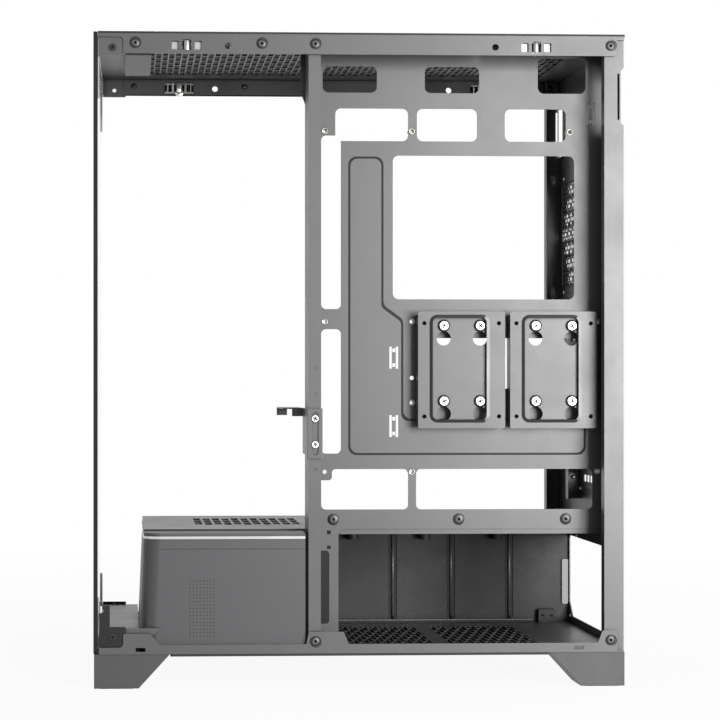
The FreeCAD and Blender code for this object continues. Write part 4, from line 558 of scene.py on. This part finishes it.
def build_clip(node, far):
    """Spring clip: side plates and barrel outside, a comb of sprung bars and a catch inside."""
    low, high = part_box(node)
    middle = (Vector(low) + Vector(high)) / 2
    side = 1 if far else -1
    outer = RAIL_FACE * side
    base, top = low[2] / MM, high[2] / MM
    form = bmesh.new()

    def block(left, right, shallow, deep, bottom, upper, material=0):
        """A block of the clip; shallow and deep are distances in from the rail's back."""
        near, away = sorted((outer - side * shallow, outer - side * deep))
        add_block(form, (middle.x / MM + left, near, bottom),
                  (middle.x / MM + right, away, upper), material)

    half_length, sill, lintel = 13.2, base + 1.3, top - 1.0
    block(-half_length, half_length, 0.2, 5.0, base, sill)
    block(-half_length, half_length, 0.2, 2.0, lintel, top)
    for centre, half in ((-10.6, 0.55), (-5.9, 0.9), (0, 2.3), (5.9, 0.9), (10.6, 0.55)):
        block(centre - half, centre + half, 4.0, 5.0, sill, top)
    if far:
        block(-half_length, half_length, 0.2, 0.6, sill, lintel, 1)
    else:
        for centre in (-9.3, 9.3):
            block(centre - 3.2, centre + 3.2, 1.6, 2.2, sill, lintel)
    for edge in (-5.2, 5.2):
        block(edge - 0.35, edge + 0.35, 0.2, 3.6, sill, lintel)
    ring = bmesh.new()
    spin_profile(ring, [(2.4, 0.9), (3.3, 0.9), (3.3, 8.9), (2.4, 8.9), (2.4, 0.9)], 32)
    barrel_depth, catch_depth = 2.4, 4.4
    barrel = Vector((middle.x, (outer - side * barrel_depth) * MM, base * MM))
    set_copies(template_of(ring), [(barrel, UPWARD, 0)], form)
    disc = bmesh.new()
    size = 3.7 if far else 2.0
    spin_profile(disc, [(0, -0.6), (size, -0.6), (size, 0.6), (0, 0.6)], 24)
    catch = Vector((middle.x, (outer - side * catch_depth) * MM, (base + 0.6) * MM))
    set_copies(template_of(disc), [(catch, OUTWARD * side, 0)], form)
    # The near clips take the darker copy of the plating: painted shade.
    bright = nickel_plate if far else near_clip_shaded_plating
    round_edges(show(node + "_spring", form, [node], [bright, black_plastic]), 0.12)


# Faces that get painted shade: tests of a face's middle, in millimetres, and its normal.
def tray_groove_painted_shade(place, normal):
    return TRAY_GROOVE[0] < place.y < TRAY_GROOVE[1]


def far_rail_painted_shade(place, normal):
    return place.y > RAIL_SHADE_FROM and place.z < RAIL_SHADE_UNDER and normal.y < -0.5


def dish_wall_painted_shade(place, normal):
    return DISH_WALL[0] < place.y < DISH_WALL[1] and abs(normal.y) < 0.9


def chamber_face_painted_shade(place, normal):
    return place.y > CHAMBER_SHADE_FROM and place.z < CHAMBER_SHADE_UNDER


def build_dish_shade_rings():
    """A thin ring round the dish of each drive bracket: painted shade, but for its right side,
    which keeps the plain coat.
    """
    for number in (1, 2):
        node = f"drive_bracket_{number}"
        low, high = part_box(node)
        form = bmesh.new()
        verts = bmesh.ops.create_grid(form, x_segments=1, y_segments=1, size=0.5)["verts"]
        bmesh.ops.rotate(form, verts=verts, cent=(0, 0, 0),
                         matrix=Matrix.Rotation(math.pi / 2, 3, "X"))
        bmesh.ops.scale(form, vec=(DISH_SIZE[0] * MM, 1, DISH_SIZE[1] * MM), verts=verts)
        bmesh.ops.translate(form, verts=verts, vec=(
            low[0] + DISH_MIDDLE[0] * MM, low[1] - SHADE_RING_LIFT * MM,
            high[2] + DISH_MIDDLE[1] * MM))
        bmesh.ops.bevel(form, geom=form.verts[:], offset=DISH_CORNER * MM, segments=6,
                        profile=0.5, affect="VERTICES", material=-1)
        middle = form.faces[:]
        bmesh.ops.inset_region(form, faces=middle, thickness=SHADE_RING_WIDTH * MM,
                               depth=SHADE_RING_HEIGHT * MM, use_boundary=True,
                               use_even_offset=True)
        bmesh.ops.delete(form, geom=middle, context="FACES")
        for face in form.faces:
            lit = face.calc_center_median().x > low[0] + SHADE_RING_LIT_FROM * MM
            face.material_index = int(lit)
        show(f"dish_painted_shade_ring_{number}", form, [node], [painted_shadow_coat, powder_coat])


def build_chamber_ribs():
    """Beads on the chamber's wall between dark sheets of painted shade, and the ledge under
    them, its face painted shade under a strip of the plain coat.
    """
    form = bmesh.new()
    bead, length = 1.3 * MM, 95.0 * MM
    for number in range(RIB_COUNT):
        left = RIB_FIRST + RIB_PITCH * number
        # A thin dark sheet of painted shade behind each bead.
        add_block(form, (left, CHAMBER_WALL - 0.5, 30.0),
                  (left + RIB_WIDTH, CHAMBER_WALL, CHAMBER_ROOF))
        made = bmesh.ops.create_cone(form, cap_ends=True, segments=20, radius1=bead,
                                     radius2=bead, depth=length)["verts"]
        bmesh.ops.translate(form, verts=made, vec=Vector((
            left + RIB_WIDTH / 2, CHAMBER_WALL - 1.1, 78.5)) * MM)
        for face in {face for vert in made for face in vert.link_faces}:
            face.material_index = 1
            face.smooth = len(face.verts) == 4
    # The ledge's face is painted shade; its top strip keeps the plain coat.
    front, rear, ledge = -28, 180, CHAMBER_FLOOR + 2
    add_block(form, (front, 73.0, CHAMBER_FLOOR), (rear, CHAMBER_WALL, ledge))
    add_block(form, (front, 73.6, ledge), (rear, CHAMBER_WALL, ledge + 1), 1)
    show("chamber_ribs", form, ["supply_shroud"], [painted_shadow_coat, powder_coat])


def build_shroud_bars():
    """Two cross bars that part each long slot of the chamber's roof into three."""
    form = bmesh.new()
    front, rear, width = -136, -37, 3.4
    for near in (-7.0, 18.5):
        add_block(form, (front, near, 125.9), (rear, near + width, 126.8))
    show("shroud_slot_bars", form, ["supply_shroud"], [powder_coat])


def build_cooler_mesh():
    """The fine punched screen inside the hexagons of the rear panel."""
    form = bmesh.new()
    half_height, half_width = SCREEN_HALF_HEIGHT, SCREEN_HALF_WIDTH
    fill_field(form, *corners_mm(-half_height, -half_width, 0, half_height, half_width, 0.5),
               (4.2 * MM, 7.4 * MM), (3.0 * MM, 5.4 * MM))
    bmesh.ops.rotate(form, verts=form.verts, cent=(0, 0, 0),
                     matrix=Matrix.Rotation(math.pi / 2, 3, "Y"))
    bmesh.ops.translate(form, verts=form.verts, vec=Vector(SCREEN_PLACE) * MM)
    show("cooler_mesh", form, ["rear_panel"], [powder_coat])


def build_far_bracket():
    """The plate of the far lower bracket; its catch is left out, as none shows."""
    form = copy_form("far_lower_bracket")
    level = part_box("far_lower_bracket")[0][2] + FAR_PLATE_HEIGHT * MM
    geometry = form.verts[:] + form.edges[:] + form.faces[:]
    bmesh.ops.bisect_plane(form, geom=geometry, plane_co=UPWARD * level, plane_no=UPWARD,
                           clear_outer=True)
    bmesh.ops.holes_fill(form, edges=form.edges)
    round_edges(show("far_lower_plate", form, ["far_lower_bracket"], [black_plastic]), 0.3)


def build_glass():
    """The pane: clear faces and a dark ground edge all round."""
    form = copy_form("front_glass")
    for face in form.faces:
        face.material_index = int(abs(face.normal.x) < 0.5)
    show("front_pane", form, ["front_glass"], [clear_glass, glass_edge])


def background_strength(tree):
    """Full white to camera, glossy and transmitted rays, and a weak glow to all others."""
    rays = add_node(tree, "ShaderNodeLightPath")
    seen = rays.outputs["Is Camera Ray"]
    for kind in ("Is Glossy Ray", "Is Transmission Ray"):
        seen = add_node(tree, "ShaderNodeMath", {"operation": "MAXIMUM"}, {
            0: seen, 1: rays.outputs[kind]}).outputs[0]
    return add_node(tree, "ShaderNodeMapRange", None, {
        "Value": seen, "To Min": SCATTERED_GLOW, "To Max": 1.0}).outputs["Result"]


def build_stage():
    """One pale sheet as the floor and the backdrop, which keeps the case's shadow."""
    form = bmesh.new()
    bmesh.ops.create_grid(form, x_segments=1, y_segments=1, size=12.0)
    mesh = bpy.data.meshes.new("floor")
    form.to_mesh(mesh)
    form.free()
    floor = bpy.data.objects.new("floor", mesh)
    bpy.context.collection.objects.link(floor)
    paper = bpy.data.materials.new("matt_paper")
    paper.use_nodes = True
    tree = paper.node_tree
    tree.nodes.clear()
    place = add_node(tree, "ShaderNodeTexCoord").outputs["Object"]
    away = add_node(tree, "ShaderNodeVectorMath", {"operation": "LENGTH"}, {0: place})
    share = add_node(tree, "ShaderNodeMapRange", None, {
        "Value": away.outputs["Value"], "From Min": 0.35, "From Max": 1.2,
        "To Min": 0.93, "To Max": 1.0})
    matt = add_node(tree, "ShaderNodeBsdfDiffuse", None, {"Color": linear("#D8D8D8")})
    glow = add_node(tree, "ShaderNodeEmission", None, {
        "Color": (1, 1, 1, 1), "Strength": background_strength(tree)})
    blend = add_node(tree, "ShaderNodeMixShader", None, {
        "Fac": share.outputs["Result"], 1: matt.outputs[0], 2: glow.outputs[0]})
    add_node(tree, "ShaderNodeOutputMaterial", None, {"Surface": blend.outputs[0]})
    mesh.materials.append(paper)


def build_world():
    world = bpy.data.worlds.new("white_room")
    world.use_nodes = True
    tree = world.node_tree
    tree.nodes.clear()
    sky = add_node(tree, "ShaderNodeBackground", None, {
        "Color": (1, 1, 1, 1), "Strength": background_strength(tree)})
    add_node(tree, "ShaderNodeOutputWorld", None, {"Surface": sky.outputs[0]})
    bpy.context.scene.world = world


def add_lamp(name, place, target, size, power):
    lamp = bpy.data.lights.new(name, "AREA")
    lamp.shape = "RECTANGLE"
    lamp.size, lamp.size_y = size
    lamp.energy = power
    thing = bpy.data.objects.new(name, lamp)
    thing.location = place
    thing.rotation_euler = (Vector(target) - Vector(place)).to_track_quat("-Z", "Y").to_euler()
    bpy.context.collection.objects.link(thing)


build_stage()
build_world()
add_lamp("right_softbox", (0.9, -1.85, 0.5), CENTRE, (0.9, 0.95), 60)
add_lamp("low_right_strip", (0.85, -1.25, 0.13), (0.3, 0.0, 0.05), (0.4, 0.2), 9)
add_lamp("left_fill", (-2.4, -1.6, 1.4), CENTRE, (1.6, 1.6), 4)
add_lamp("top_softbox", (0.2, 0.3, 2.6), CENTRE, (2.0, 2.0), 26)

camera = bpy.data.cameras.new("camera")
camera.lens = 95.857
camera.sensor_width = 36.0
camera.shift_x = 0.22
camera.shift_y = 0.03511
camera.clip_start, camera.clip_end = 0.05, 50
YAW = math.radians(2.2265)
viewpoint = bpy.data.objects.new("camera", camera)
viewpoint.location = (-0.18933, -1.66243, 0.24562)
viewpoint.rotation_euler = (math.pi / 2, 0, -YAW)
bpy.context.collection.objects.link(viewpoint)
bpy.context.scene.camera = viewpoint
bpy.context.scene.view_settings.view_transform = "Standard"

# The grilles are too fine for the solids: their places, pitch and slots are set here.
roof_low, roof_high = corners_mm(-170.5, -86.0, 528.7, 190.5, 86.0, 529.7)
ROOF_GRILLE = (roof_low, roof_high, (5.65, 24.0), (4.3, 21.6))
FLOOR_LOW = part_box("bottom_panel")[0][2] / MM
FLOOR_GRILLES = [(*corners_mm(left, -98.0, FLOOR_LOW, left + 71.6, 45.0, FLOOR_LOW + 1.0),
                  (4.475, 29.0), (3.3, 26.0)) for left in (-7.8, 80.2)]

# The far rail's inner face, the tray's groove, the dish walls and the chamber get painted shade
# as their second finish.
dress_sheet("top_frame", fields=[ROOF_GRILLE], shaded=far_rail_painted_shade, second=painted_shadow_coat)
dress_sheet("bottom_panel", fields=FLOOR_GRILLES)
build_glass()
dress_sheet("motherboard_tray", shaded=tray_groove_painted_shade, second=painted_shadow_coat)
dress_sheet("supply_shroud", shaded=chamber_face_painted_shade, second=chamber_painted_shade)
for bracket in ("drive_bracket_1", "drive_bracket_2"):
    dress_sheet(bracket, shaded=dish_wall_painted_shade, second=painted_shadow_coat)
build_dish_shade_rings()
build_chamber_ribs()
build_shroud_bars()
build_cooler_mesh()
build_far_bracket()
for sheet_node in ("rear_panel", "middle_post", "card_holder", "front_ledge",
                   "near_upper_bracket", "far_upper_bracket", "near_lower_bracket",
                   "card_shelf"):
    dress_sheet(sheet_node)
for cover in range(1, 8):
    dress_sheet(f"slot_cover_{cover}", 0.2)
for foot in FEET:
    dress_sheet(foot, 0.8)
build_rivets()
build_drive_screws()
build_standoffs()
build_screws("holder_screws", zinc_plate)
build_screws("bracket_screws", black_oxide)
build_screws("card_screws", zinc_plate)
for clip_side in ("near", "far"):
    for clip_end in ("front", "rear"):
        build_clip(f"{clip_side}_{clip_end}_clip", clip_side == "far")
